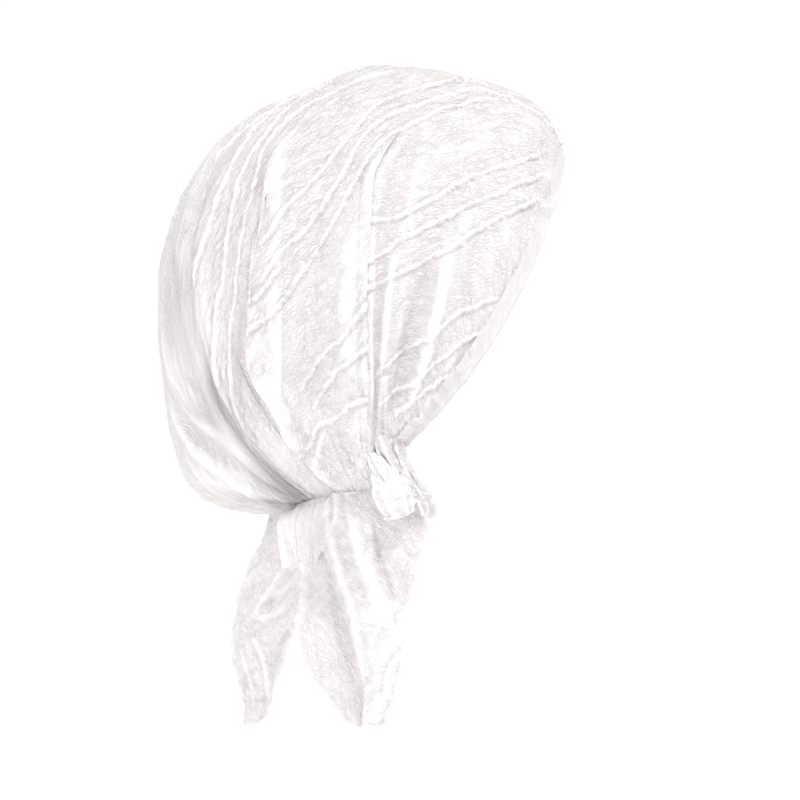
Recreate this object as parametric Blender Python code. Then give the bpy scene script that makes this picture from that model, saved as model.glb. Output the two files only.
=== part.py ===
"""A pre-tied turban hat of crinkled cotton, in metres, +Z up, its front towards -Y.

The origin is the seat: the point inside the top of the crown where the wearer's head bears on the cloth.
Lengths in the tables are shares of the named sizes. A forward share runs from the back of the bag, 0, to
the middle of the front hem, 1, and a drop share from the top of the crown, 0, to the bottom of the bag, 1.
"""

import math
from collections import namedtuple

import bpy
import numpy as np

# The crown
CROWN_LENGTH = 0.240  # from the back of the bag to the front hem
CROWN_DEPTH = 0.264  # from the top of the crown to the bottom of the bag
CROWN_WIDTH = 0.172  # over the ears
CLOTH = 0.0015  # wall of every cloth piece
FOLD_DEPTH = 0.0070  # how far a fold of lift 1 stands off the smooth form
SEAM_GAP = 0.0003  # left between two pieces that are sewn or tied together

# The tie, the tails and the flap
STRAP_WIDTH = 0.026  # of the gathered front strap, where it enters the tail
STRAP_THICKNESS = 0.0100
WRAP_WIDTH = 0.017  # of the cloth wrapped round the strap
TIE_WIDTH = 0.0120  # of the strap round the nape
TIE_THICKNESS = 0.0080
FLAP_DROP = 0.038  # of the gathered hem below the tie
FLAP_FLARE = 0.0065  # how far the hem stands out behind the tie
RUFFLE_DEPTH = 0.0028  # of the folds in the hem
SIDE_TAIL_LENGTH = 0.139
SIDE_TAIL_WIDTH = 0.081
BACK_TAIL_LENGTH = 0.122
BACK_TAIL_WIDTH = 0.051
TAIL_LAYER = 0.0042  # between two layers of a folded tail

# Where the head bears on the crown, as shares
SEAT_FORWARD = 0.60
SEAT_DROP = 0.0065

# How finely the cloth is divided
STEPS_PER_SECTION = 2
STEPS_PER_SIDE = 16
CROSS_POWER = 3.0  # with the next one: both 2 makes each arch of the crown an ellipse, more is squarer
CROSS_ROOT = 2.6
ARCH_CROWDING = 1.25  # over 1 brings the steps of an arch closer together at its foot
FULL_WIDTH_AT = 0.42  # share of the way up an arch where it is at its widest
FOLD_START = 0.25  # share of the way up an arch where a fold has its full depth
FOLD_FADE = 0.30  # share of the arch over which a fold dies away above its reach

# The crown is a fan of arches, from the front hem round to the nape. Each one starts at its foot on the
# gather, bows out over the side of the head, and crosses the middle of the hat at its top.
Section = namedtuple(
    "Section",
    "name foot_forward foot_drop foot_half top_forward top_drop bow half lift reach",
)
SECTIONS = [
    # name, foot (forward, drop, half width), top (forward, drop), bow, half width, lift, reach
    Section("front_hem", 0.600, 0.847, 0.70, 0.995, 0.208, -0.062, 0.80, 0.00, 0.50),
    Section("temple", 0.593, 0.849, 0.70, 0.950, 0.108, -0.034, 0.85, -0.20, 0.50),
    Section("front_ridge", 0.583, 0.851, 0.70, 0.880, 0.060, 0.006, 0.90, 0.60, 0.50),
    Section("front_valley", 0.570, 0.853, 0.70, 0.805, 0.034, 0.026, 0.92, -0.50, 0.50),
    Section("inner_ridge", 0.560, 0.856, 0.70, 0.745, 0.021, 0.042, 0.94, 0.40, 0.55),
    Section("pleat_foot", 0.548, 0.862, 0.70, 0.690, 0.013, 0.072, 0.95, -0.55, 0.74),
    Section("pleat_edge", 0.530, 0.912, 0.74, 0.655, 0.009, 0.080, 0.97, 0.85, 0.74),
    Section("panel_front", 0.510, 0.925, 0.71, 0.610, 0.004, 0.098, 0.98, 0.50, 0.66),
    Section("panel_valley", 0.487, 0.932, 0.67, 0.570, 0.001, 0.140, 1.00, -0.10, 0.60),
    Section("panel_ridge", 0.462, 0.937, 0.62, 0.520, 0.003, 0.208, 1.00, 0.65, 0.62),
    Section("panel_edge", 0.445, 0.940, 0.57, 0.470, 0.015, 0.240, 1.00, 0.75, 0.64),
    Section("back_foot", 0.432, 0.942, 0.53, 0.425, 0.030, 0.243, 1.00, -0.45, 0.66),
    Section("back_rib", 0.418, 0.945, 0.49, 0.370, 0.052, 0.230, 1.00, 0.15, 0.70),
    Section("back_valley", 0.404, 0.948, 0.44, 0.310, 0.075, 0.220, 0.99, -0.50, 0.70),
    Section("back_ridge", 0.390, 0.951, 0.39, 0.240, 0.104, 0.200, 0.97, 0.60, 0.70),
    Section("bag_valley", 0.380, 0.954, 0.35, 0.120, 0.196, 0.155, 0.94, -0.50, 0.60),
    Section("bag_side", 0.372, 0.957, 0.32, 0.030, 0.360, 0.100, 0.90, 0.25, 0.55),
    Section("bag_ridge", 0.366, 0.959, 0.29, 0.002, 0.560, 0.060, 0.84, 0.50, 0.70),
    Section("bag_hollow", 0.361, 0.961, 0.26, 0.020, 0.735, 0.026, 0.74, -0.45, 0.70),
    Section("bag_fold", 0.357, 0.963, 0.24, 0.048, 0.874, 0.006, 0.62, 0.40, 0.70),
    Section("bag_floor", 0.354, 0.965, 0.22, 0.110, 0.958, 0.004, 0.50, -0.15, 0.60),
    Section("bag_base", 0.352, 0.967, 0.20, 0.195, 0.986, 0.006, 0.38, 0.15, 0.50),
    Section("bag_end", 0.351, 0.969, 0.19, 0.275, 0.989, 0.004, 0.26, 0.00, 0.50),
    Section("nape", 0.350, 0.971, 0.17, 0.335, 0.974, 0.000, 0.18, 0.00, 0.50),
]
HEM_FIRST_ROW = 13  # row of SECTIONS where the gathered hem begins

# The strap and the cloth wrapped round it, as bundles that run down from the front corner of the crown:
# where the middle of each section is, and its half width and half thickness as shares of its own size
Bundle = namedtuple("Bundle", "forward drop side half_width half_thickness")
STRAP = [
    Bundle(0.581, 0.8575, -0.700, 0.22, 0.26),
    Bundle(0.586, 0.880, -0.72, 0.23, 0.36),
    Bundle(0.597, 0.900, -0.735, 0.25, 0.42),
    Bundle(0.611, 0.922, -0.745, 0.24, 0.44),
    Bundle(0.630, 0.939, -0.750, 0.22, 0.42),
    Bundle(0.648, 0.951, -0.750, 0.20, 0.34),
]
WRAP = [
    Bundle(0.563, 0.868, -0.790, 0.28, 0.32),
    Bundle(0.5535, 0.892, -0.799, 0.38, 0.42),
    Bundle(0.551, 0.918, -0.808, 0.44, 0.48),
    Bundle(0.562, 0.946, -0.815, 0.48, 0.52),
    Bundle(0.575, 0.972, -0.800, 0.46, 0.48),
    Bundle(0.582, 0.994, -0.785, 0.30, 0.30),
]
BUNDLE_FOLDS = 5  # ridges round a bundle

# The strap round the nape, from behind the knot to the far front corner of the crown
TieRow = namedtuple("TieRow", "side forward drop half_width half_thickness")
TIE = [
    TieRow(-0.66, 0.545, 0.925, 0.40, 0.16),
    TieRow(-0.655, 0.505, 0.948, 0.42, 0.20),
    TieRow(-0.58, 0.460, 0.960, 0.42, 0.22),
    TieRow(-0.43, 0.419, 0.972, 0.42, 0.22),
    TieRow(-0.25, 0.376, 0.988, 0.42, 0.22),
    TieRow(0.00, 0.364, 0.992, 0.42, 0.22),
    TieRow(0.25, 0.376, 0.988, 0.42, 0.22),
    TieRow(0.43, 0.419, 0.972, 0.42, 0.22),
    TieRow(0.58, 0.460, 0.960, 0.42, 0.22),
    TieRow(0.655, 0.510, 0.945, 0.42, 0.22),
    TieRow(0.70, 0.554, 0.915, 0.50, 0.24),
    TieRow(0.71, 0.571, 0.888, 0.52, 0.24),
    TieRow(0.70, 0.575, 0.8575, 0.50, 0.18),
]

# The hem below the gather, from the gather to its free edge
HemRow = namedtuple("HemRow", "flare drop ruffle")
HEM = [
    HemRow(0.02, 0.000, 0.0),
    HemRow(0.42, 0.130, 0.3),
    HemRow(0.80, 0.300, 0.6),
    HemRow(0.98, 0.480, 0.8),
    HemRow(1.00, 0.660, 0.9),
    HemRow(0.90, 0.840, 1.0),
    HemRow(0.76, 1.000, 1.2),
]
HEM_FOLDS = 7  # ruffles between the two ends of the hem
HEM_STEPS = 42

# The side tail, from its top edge to its tip. Four lines run down it: its rear edge, the crease where the
# outer layer begins, the front crease of that layer, and the free front edge. Forward shares are of the
# tail's width, drop shares of its length, and the sides of half the crown's width.
SideRow = namedtuple(
    "SideRow",
    "rear_forward rear_drop rear_side crease_forward crease_drop crease_side"
    " front_forward front_drop front_side edge_forward edge_drop edge_side",
)
SIDE_TAIL = [
    # rear edge, crease, front crease, free edge
    SideRow(0.12, 0.040, -0.25, 0.23, -0.005, -0.43, 0.55, -0.025, -0.632, 0.99, 0.050, -0.68),
    SideRow(0.08, 0.140, -0.25, 0.22, 0.120, -0.43, 0.56, 0.105, -0.65, 0.98, 0.140, -0.69),
    SideRow(0.06, 0.260, -0.25, 0.28, 0.255, -0.46, 0.57, 0.230, -0.67, 0.96, 0.235, -0.71),
    SideRow(0.06, 0.360, -0.30, 0.32, 0.360, -0.52, 0.60, 0.335, -0.68, 0.92, 0.325, -0.72),
    SideRow(0.04, 0.455, -0.42, 0.36, 0.455, -0.58, 0.67, 0.425, -0.69, 0.86, 0.415, -0.72),
    SideRow(0.00, 0.560, -0.51, 0.42, 0.560, -0.64, 0.72, 0.520, -0.71, 0.79, 0.510, -0.73),
    SideRow(0.02, 0.670, -0.58, 0.46, 0.670, -0.66, 0.74, 0.630, -0.71, 0.80, 0.615, -0.72),
    SideRow(0.14, 0.785, -0.62, 0.50, 0.780, -0.68, 0.72, 0.740, -0.71, 0.78, 0.725, -0.72),
    SideRow(0.27, 0.895, -0.66, 0.49, 0.890, -0.69, 0.67, 0.860, -0.71, 0.73, 0.845, -0.72),
    SideRow(0.37, 0.975, -0.68, 0.47, 0.998, -0.70, 0.60, 1.000, -0.71, 0.64, 0.965, -0.72),
]
SIDE_TAIL_FORWARD = 0.341  # forward share of the crown at the tail's rearmost point
SIDE_TAIL_DROP = 0.950  # drop share of the crown at the gather

# How a tail is folded across: where each turn lies between its lines, how many layers out from the neck,
# and how far down the tail it is tucked at the top, as a share of the tail's length
Fold = namedtuple("Fold", "line layer tuck")
SIDE_FOLDS = [
    Fold(0.00, 0.30, 0.12),
    Fold(0.30, 0.05, 0.12),
    Fold(0.62, 0.30, 0.12),
    Fold(0.95, 0.05, 0.12),
    Fold(1.25, 0.00, 0.12),
    Fold(1.52, 0.10, 0.12),
    Fold(1.60, 0.50, 0.11),
    Fold(1.52, 0.90, 0.09),
    Fold(1.28, 1.00, 0.10),
    Fold(1.08, 1.12, 0.10),
    Fold(1.00, 1.55, 0.09),
    Fold(1.08, 1.98, 0.04),
    Fold(1.30, 2.20, 0.00),
    Fold(1.62, 2.15, 0.00),
    Fold(1.88, 2.00, 0.00),
    Fold(2.00, 1.65, 0.00),
    Fold(2.18, 1.40, 0.00),
    Fold(2.48, 1.62, 0.00),
    Fold(2.75, 1.40, 0.00),
    Fold(3.00, 1.60, 0.00),
]

# The back tail: its rear edge, middle and front edge, in the same shares
BackRow = namedtuple(
    "BackRow",
    "rear_forward rear_drop rear_side middle_forward middle_drop middle_side"
    " front_forward front_drop front_side",
)
BACK_TAIL = [
    # rear edge, middle, front edge
    BackRow(0.47, -0.024, 0.20, 0.59, -0.037, 0.36, 0.69, -0.07, 0.52),
    BackRow(0.40, 0.070, 0.20, 0.57, 0.070, 0.37, 0.70, 0.060, 0.53),
    BackRow(0.33, 0.140, 0.20, 0.55, 0.150, 0.37, 0.73, 0.145, 0.54),
    BackRow(0.14, 0.300, 0.21, 0.50, 0.305, 0.36, 0.86, 0.290, 0.54),
    BackRow(0.04, 0.460, 0.22, 0.42, 0.465, 0.35, 0.82, 0.450, 0.52),
    BackRow(0.00, 0.570, 0.22, 0.38, 0.575, 0.34, 0.74, 0.560, 0.50),
    BackRow(0.03, 0.690, 0.23, 0.35, 0.690, 0.33, 0.66, 0.680, 0.46),
    BackRow(0.12, 0.830, 0.24, 0.33, 0.832, 0.32, 0.55, 0.815, 0.42),
    BackRow(0.15, 0.940, 0.25, 0.28, 0.950, 0.31, 0.40, 0.935, 0.38),
    BackRow(0.19, 0.995, 0.26, 0.25, 1.000, 0.31, 0.31, 0.990, 0.36),
]
BACK_TAIL_FORWARD = 0.177  # forward share of the crown at the tail's rearmost point
BACK_TAIL_DROP = 1.006  # drop share of the crown at the tail's top
BACK_FOLDS = [
    Fold(0.00, 0.00, 0.00),
    Fold(0.22, 0.55, 0.00),
    Fold(0.50, 0.95, 0.00),
    Fold(0.80, 0.60, 0.00),
    Fold(1.02, 0.05, 0.00),
    Fold(1.25, -0.10, 0.00),
    Fold(1.52, 0.45, 0.00),
    Fold(1.78, 0.80, 0.00),
    Fold(2.00, 0.50, 0.00),
]

COTTON = (0.93, 0.92, 0.91, 1.0)
COTTON_ROUGHNESS = 0.9


def clear_scene():
    for thing in list(bpy.data.objects):
        bpy.data.objects.remove(thing)


def cotton_material(name):
    material = bpy.data.materials.new(name)
    material.use_nodes = True
    shader = material.node_tree.nodes["Principled BSDF"]
    shader.inputs["Base Color"].default_value = COTTON
    shader.inputs["Roughness"].default_value = COTTON_ROUGHNESS
    shader.inputs["Metallic"].default_value = 0.0
    return material


def place(forward, drop, side):
    """A point from its forward and drop shares, and its distance from the middle plane in metres."""
    return np.array(
        [side, (SEAT_FORWARD - forward) * CROWN_LENGTH, (SEAT_DROP - drop) * CROWN_DEPTH]
    )


def along_rows(rows, t):
    """The columns of a table at row number t, on a smooth curve through the rows."""
    table = np.array([[c for c in row if not isinstance(c, str)] for row in rows], float)
    last = len(table) - 1
    i = min(int(t), last - 1)
    f = t - i
    before = table[i - 1] if i else 2 * table[0] - table[1]
    after = table[i + 2] if i + 2 <= last else 2 * table[last] - table[last - 1]
    a, b = table[i], table[i + 1]
    slope_a, slope_b = (b - before) / 2, (after - a) / 2
    return (
        (2 * f**3 - 3 * f**2 + 1) * a
        + (f**3 - 2 * f**2 + f) * slope_a
        + (3 * f**2 - 2 * f**3) * b
        + (f**3 - f**2) * slope_b
    )


def ease(x):
    """0 below 0, 1 above 1, and smooth between."""
    x = np.clip(x, 0.0, 1.0)
    return x * x * (3 - 2 * x)


def arch_point(row, angle):
    """A point of the smooth crown: the arch of one row, at an angle from 0 at the right foot to pi."""
    foot_forward, foot_drop, foot_half, top_forward, top_drop, bow, half, _, _ = row
    rise = math.sin(angle) ** ARCH_CROWDING
    along = np.array([top_forward - foot_forward, foot_drop - top_drop])
    length = math.hypot(along[0] * CROWN_LENGTH, along[1] * CROWN_DEPTH)
    back = np.array([-along[1] * CROWN_DEPTH, along[0] * CROWN_LENGTH]) / length
    reach = 4 * rise * (1 - rise) * bow * CROWN_LENGTH
    forward = foot_forward + along[0] * rise + back[0] * reach / CROWN_LENGTH
    drop = foot_drop - along[1] * rise - back[1] * reach / CROWN_DEPTH
    widening = math.sin(math.pi / 2 * min(1.0, rise / FULL_WIDTH_AT))
    width = foot_half + (half - foot_half) * widening
    side = width * CROWN_WIDTH / 2 * max(0.0, 1 - rise**CROSS_POWER) ** (1 / CROSS_ROOT)
    return place(forward, drop, side if angle > math.pi / 2 else -side)


def grid_normals(grid):
    """The outward unit normal at each point of a grid that runs back from the front and from right to left."""
    down = np.gradient(grid, axis=0)
    across = np.gradient(grid, axis=1)
    normals = np.cross(across, down)
    return normals / np.maximum(np.linalg.norm(normals, axis=2, keepdims=True), 1e-12)


def crown_rows():
    count = (len(SECTIONS) - 1) * STEPS_PER_SECTION
    return [along_rows(SECTIONS, i / STEPS_PER_SECTION) for i in range(count + 1)]


def crown_grid():
    """The middle of the crown's cloth, as rows of points from the right foot over the top to the left foot."""
    angles = [math.pi * j / (2 * STEPS_PER_SIDE) for j in range(2 * STEPS_PER_SIDE + 1)]
    rows = crown_rows()
    smooth = np.array([[arch_point(row, angle) for angle in angles] for row in rows])
    normals = grid_normals(smooth)
    rises = np.array([math.sin(angle) ** ARCH_CROWDING for angle in angles])
    for i, row in enumerate(rows):
        lift, reach = row[-2], row[-1]
        fade = ease(rises / FOLD_START) * (1 - ease((rises - reach) / FOLD_FADE))
        smooth[i] += (FOLD_DEPTH * lift * fade)[:, None] * normals[i]
    return smooth


def gather_line(grid):
    """The edge of the crown on the gather, from its right front corner round the nape to the left one."""
    right, left = grid[:, 0], grid[:, -1]
    return np.concatenate([right, grid[-1, 1:-1], left[::-1]])


def sheet(name, grid, material, thickness=CLOTH):
    """A cloth piece: a grid of points with the wall's thickness half on each side."""
    rows, columns = len(grid), len(grid[0])
    points = [tuple(p) for row in grid for p in row]
    faces = [
        (i * columns + j, i * columns + j + 1, (i + 1) * columns + j + 1, (i + 1) * columns + j)
        for i in range(rows - 1)
        for j in range(columns - 1)
    ]
    return finished(name, points, faces, material, thickness)


def finished(name, points, faces, material, thickness=None):
    mesh = bpy.data.meshes.new(name)
    mesh.from_pydata(points, [], faces)
    mesh.materials.append(material)
    mesh.shade_smooth()
    mesh.update()
    thing = bpy.data.objects.new(name, mesh)
    bpy.context.scene.collection.objects.link(thing)
    if thickness:
        wall = thing.modifiers.new("wall", "SOLIDIFY")
        wall.thickness = thickness
        wall.offset = 0.0
    return thing


def roll(name, rings, material):
    """A closed bundle of cloth: rings of points, one after another, with a cap at each end."""
    count = len(rings[0])
    points = [tuple(p) for ring in rings for p in ring]
    faces = [
        (i * count + j, i * count + (j + 1) % count, (i + 1) * count + (j + 1) % count, (i + 1) * count + j)
        for i in range(len(rings) - 1)
        for j in range(count)
    ]
    faces.append(tuple(reversed(range(count))))
    faces.append(tuple((len(rings) - 1) * count + j for j in range(count)))
    first, second = np.array(rings[0]), np.array(rings[1])
    turn = np.cross(first[1] - first[0], first[2] - first[1])
    if np.dot(turn, second.mean(axis=0) - first.mean(axis=0)) < 0:
        faces = [tuple(reversed(face)) for face in faces]
    return finished(name, points, faces, material)


def resampled(line, count):
    """A line of points divided again into equal steps."""
    steps = np.linalg.norm(np.diff(line, axis=0), axis=1)
    run = np.concatenate([[0.0], np.cumsum(steps)])
    at = np.linspace(0.0, run[-1], count)
    return np.stack([np.interp(at, run, line[:, k]) for k in range(3)], axis=1)


def level_normals(line):
    """Level unit vectors square to a line that runs from right to left round the nape, away from the neck."""
    along = np.gradient(line, axis=0)
    out = np.stack([-along[:, 1], along[:, 0], np.zeros(len(line))], axis=1)
    return out / np.maximum(np.linalg.norm(out, axis=1, keepdims=True), 1e-12)


def bundle_rings(rows, width, thickness, folds, points=20, steps=2):
    """Rings of a gathered bundle, each square to the way the bundle runs in the side view."""
    count = (len(rows) - 1) * steps
    stations = [along_rows(rows, i / steps) for i in range(count + 1)]
    centres = np.array([place(s[0], s[1], s[2] * CROWN_WIDTH / 2) for s in stations])
    run = np.gradient(centres, axis=0)
    run /= np.linalg.norm(run, axis=1, keepdims=True)
    across = np.cross(run, [1.0, 0.0, 0.0])
    across /= np.linalg.norm(across, axis=1, keepdims=True)
    out = np.cross(across, run)
    rings = []
    for i, station in enumerate(stations):
        turns = [2 * math.pi * k / points for k in range(points)]
        swell = [1 + 0.09 * math.cos(folds * turn + 0.5 * i / steps) for turn in turns]
        rings.append(
            [
                centres[i]
                + across[i] * math.cos(turn) * swell[k] * station[3] * width
                + out[i] * math.sin(turn) * swell[k] * station[4] * thickness
                for k, turn in enumerate(turns)
            ]
        )
    return rings


def make_strap(material):
    rings = bundle_rings(STRAP, STRAP_WIDTH, STRAP_THICKNESS, BUNDLE_FOLDS)
    roll("front_strap", rings, material)


def make_wrap(material):
    rings = bundle_rings(WRAP, WRAP_WIDTH, STRAP_THICKNESS, BUNDLE_FOLDS)
    roll("knot_wrap", rings, material)


def make_tie(material):
    """The strap round the nape: rings that stand upright and turn with its path."""
    steps = 3
    count = (len(TIE) - 1) * steps
    stations = [along_rows(TIE, i / steps) for i in range(count + 1)]
    centres = np.array([place(s[1], s[2], s[0] * CROWN_WIDTH / 2) for s in stations])
    run = np.gradient(centres, axis=0)
    run /= np.linalg.norm(run, axis=1, keepdims=True)
    out = level_normals(centres)
    up = np.cross(out, run)
    points = 12
    rings = []
    for i, station in enumerate(stations):
        turns = [2 * math.pi * k / points for k in range(points)]
        rings.append(
            [
                centres[i]
                + up[i] * math.cos(turn) * station[3] * TIE_WIDTH
                + out[i] * math.sin(turn) * station[4] * TIE_THICKNESS
                for turn in turns
            ]
        )
    roll("nape_tie", rings, material)


def make_hem(material, crown):
    """The gathered hem of the crown below the tie: it flares out from the gather and ruffles."""
    line = resampled(gather_line(crown[HEM_FIRST_ROW * STEPS_PER_SECTION :]), HEM_STEPS + 1)
    out = level_normals(line)
    places = np.linspace(-1.0, 1.0, HEM_STEPS + 1)
    middle = 1 - 0.4 * np.abs(places) ** 3
    grid = []
    waves = np.cos(math.pi * HEM_FOLDS * places + 1.4 * np.sin(2.3 * places))
    waves *= 0.75 + 0.25 * np.cos(5.0 * places + 1.0)
    for flare, drop, ruffle in HEM:
        reach = flare * FLAP_FLARE * middle + ruffle * RUFFLE_DEPTH * waves * middle
        fall = SEAM_GAP + 1.5 * CLOTH + drop * FLAP_DROP
        grid.append(line + out * reach[:, None] - [0.0, 0.0, fall])
    sheet("nape_flap", np.array(grid), material)


def tail_grid(rows, folds, steps, width, length, forward, drop):
    """A folded tail: at each height, its turns lie between its lines, and stand out from the neck in layers."""
    lines = len(rows[0]) // 3
    count = (len(rows) - 1) * steps
    grid = []
    for i in range(count + 1):
        row = along_rows(rows, i / steps).reshape(lines, 3)
        marks = np.array(
            [
                place(
                    forward + mark[0] * width / CROWN_LENGTH,
                    drop + mark[1] * length / CROWN_DEPTH,
                    mark[2] * CROWN_WIDTH / 2,
                )
                for mark in row
            ]
        )
        level = marks[-1] - marks[0]
        away = np.array([level[1], -level[0], 0.0])
        away *= np.sign(away[0] * marks[0][0]) / np.linalg.norm(away)
        tucked = length * (1 - i / count) ** 3
        for fold in folds:
            point = np.array([np.interp(fold.line, range(lines), marks[:, k]) for k in range(3)])
            grid.append(point + away * fold.layer * TAIL_LAYER - [0.0, 0.0, fold.tuck * tucked])
    return np.array(grid).reshape(count + 1, len(folds), 3)


def make_side_tail(material):
    grid = tail_grid(
        SIDE_TAIL, SIDE_FOLDS, 2, SIDE_TAIL_WIDTH, SIDE_TAIL_LENGTH, SIDE_TAIL_FORWARD, SIDE_TAIL_DROP
    )
    sheet("side_tail", grid, material)


def make_back_tail(material):
    grid = tail_grid(
        BACK_TAIL, BACK_FOLDS, 2, BACK_TAIL_WIDTH, BACK_TAIL_LENGTH, BACK_TAIL_FORWARD, BACK_TAIL_DROP
    )
    sheet("back_tail", grid, material)


def main():
    clear_scene()
    cotton = cotton_material("cotton")
    crown = crown_grid()
    sheet("crown", crown, cotton)
    make_strap(cotton)
    make_wrap(cotton)
    make_tie(cotton)
    make_hem(cotton, crown)
    make_side_tail(cotton)
    make_back_tail(cotton)


main()
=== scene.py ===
"""Looks of the pre-tied turban hat: its crinkled cotton at full detail, and the light around it.

Metres, +Z up, the front towards -Y and the knot at -X. Lengths in the tables are shares of the named sizes.
Seams, ribs and folds are drawn in the side view, in steps of 0.58 mm to the front and down.
"""

import math
from collections import namedtuple

import bpy
import numpy as np
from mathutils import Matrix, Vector


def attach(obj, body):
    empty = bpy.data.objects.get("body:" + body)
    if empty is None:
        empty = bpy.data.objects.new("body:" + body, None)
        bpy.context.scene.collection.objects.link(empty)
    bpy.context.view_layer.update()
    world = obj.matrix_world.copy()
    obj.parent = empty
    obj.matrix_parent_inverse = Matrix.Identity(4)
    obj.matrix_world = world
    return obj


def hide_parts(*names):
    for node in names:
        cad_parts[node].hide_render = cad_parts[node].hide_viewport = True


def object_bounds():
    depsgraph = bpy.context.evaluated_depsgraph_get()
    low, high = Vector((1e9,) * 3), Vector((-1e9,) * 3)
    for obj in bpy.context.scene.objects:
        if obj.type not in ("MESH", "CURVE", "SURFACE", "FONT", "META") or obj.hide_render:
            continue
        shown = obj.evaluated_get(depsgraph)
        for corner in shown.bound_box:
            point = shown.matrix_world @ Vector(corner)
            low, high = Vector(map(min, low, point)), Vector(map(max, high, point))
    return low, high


# The sizes of the hat
CROWN_LENGTH = 0.240
CROWN_DEPTH = 0.264
CROWN_WIDTH = 0.172
CLOTH = 0.0015
FOLD_DEPTH = 0.0070
TIE_WIDTH = 0.0120
TIE_THICKNESS = 0.0080
FLAP_DROP = 0.038
FLAP_FLARE = 0.0065
RUFFLE_DEPTH = 0.0028
SIDE_TAIL_LENGTH = 0.139
SIDE_TAIL_WIDTH = 0.081
BACK_TAIL_LENGTH = 0.122
BACK_TAIL_WIDTH = 0.051
TAIL_LAYER = 0.0042
SEAT_FORWARD = 0.60
SEAT_DROP = 0.0065

# The arches of the crown
CROSS_POWER = 3.0
CROSS_ROOT = 2.6
ARCH_CROWDING = 1.25
FULL_WIDTH_AT = 0.42
FOLD_START = 0.25
FOLD_FADE = 0.30

# Light: the sky above the white horizon, and soft suns (direction towards each, strength, spread in degrees)
SKY = 0.50
SUNS = [
    ("high sun", (-0.38, -0.34, 1.0), 2.45, 22.0),
    ("rear sun", (-0.5, 1.0, 0.06), 0.85, 60.0),
    ("side sun", (-0.88, 0.46, 0.03), 0.42, 36.0),
    ("far sun", (1.0, 0.15, 0.25), 0.90, 60.0),
    ("front sun", (-0.15, -1.0, 0.70), 0.22, 40.0),
]

# A soft lamp low behind the hat: where it stands, what it points at, its power in watts and its width
LOW_LAMP = ((-0.56, 0.13, -0.50), (-0.03, 0.07, -0.26), 0.47, 0.20)

# The side view that seams, ribs and folds are drawn in
SIDE_STEP = 0.00058
SIDE_FRONT = 403.3
SIDE_TOP = 65.96

# Texture of the cloth
FOLD_STRENGTH = 1.30
RIB_HEIGHT = 0.00135
RIB_WIDTH = 0.00115

Section = namedtuple("Section", "foot_forward foot_drop foot_half top_forward top_drop bow half")
SECTIONS = [
    # foot (forward, drop, half width), top (forward, drop), bow, half width
    Section(0.600, 0.847, 0.70, 0.995, 0.208, -0.062, 0.80),
    Section(0.593, 0.849, 0.70, 0.950, 0.108, -0.034, 0.85),
    Section(0.583, 0.851, 0.70, 0.880, 0.060, 0.006, 0.90),
    Section(0.570, 0.853, 0.70, 0.805, 0.034, 0.026, 0.92),
    Section(0.560, 0.856, 0.70, 0.745, 0.021, 0.042, 0.94),
    Section(0.548, 0.862, 0.70, 0.690, 0.013, 0.072, 0.95),
    Section(0.530, 0.912, 0.74, 0.655, 0.009, 0.080, 0.97),
    Section(0.510, 0.925, 0.71, 0.610, 0.004, 0.098, 0.98),
    Section(0.487, 0.932, 0.67, 0.570, 0.001, 0.140, 1.00),
    Section(0.462, 0.937, 0.62, 0.520, 0.003, 0.208, 1.00),
    Section(0.445, 0.940, 0.57, 0.470, 0.015, 0.240, 1.00),
    Section(0.432, 0.942, 0.53, 0.425, 0.030, 0.243, 1.00),
    Section(0.418, 0.945, 0.49, 0.370, 0.052, 0.230, 1.00),
    Section(0.404, 0.948, 0.44, 0.310, 0.075, 0.220, 0.99),
    Section(0.390, 0.951, 0.39, 0.240, 0.104, 0.200, 0.97),
    Section(0.380, 0.954, 0.35, 0.120, 0.196, 0.155, 0.94),
    Section(0.372, 0.957, 0.32, 0.030, 0.360, 0.100, 0.90),
    Section(0.366, 0.959, 0.29, 0.002, 0.560, 0.060, 0.84),
    Section(0.361, 0.961, 0.26, 0.020, 0.735, 0.026, 0.74),
    Section(0.357, 0.963, 0.24, 0.048, 0.874, 0.006, 0.62),
    Section(0.354, 0.965, 0.22, 0.110, 0.958, 0.004, 0.50),
    Section(0.352, 0.967, 0.20, 0.195, 0.986, 0.006, 0.38),
    Section(0.351, 0.969, 0.19, 0.275, 0.989, 0.004, 0.26),
    Section(0.350, 0.971, 0.17, 0.335, 0.974, 0.000, 0.18),
]

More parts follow.
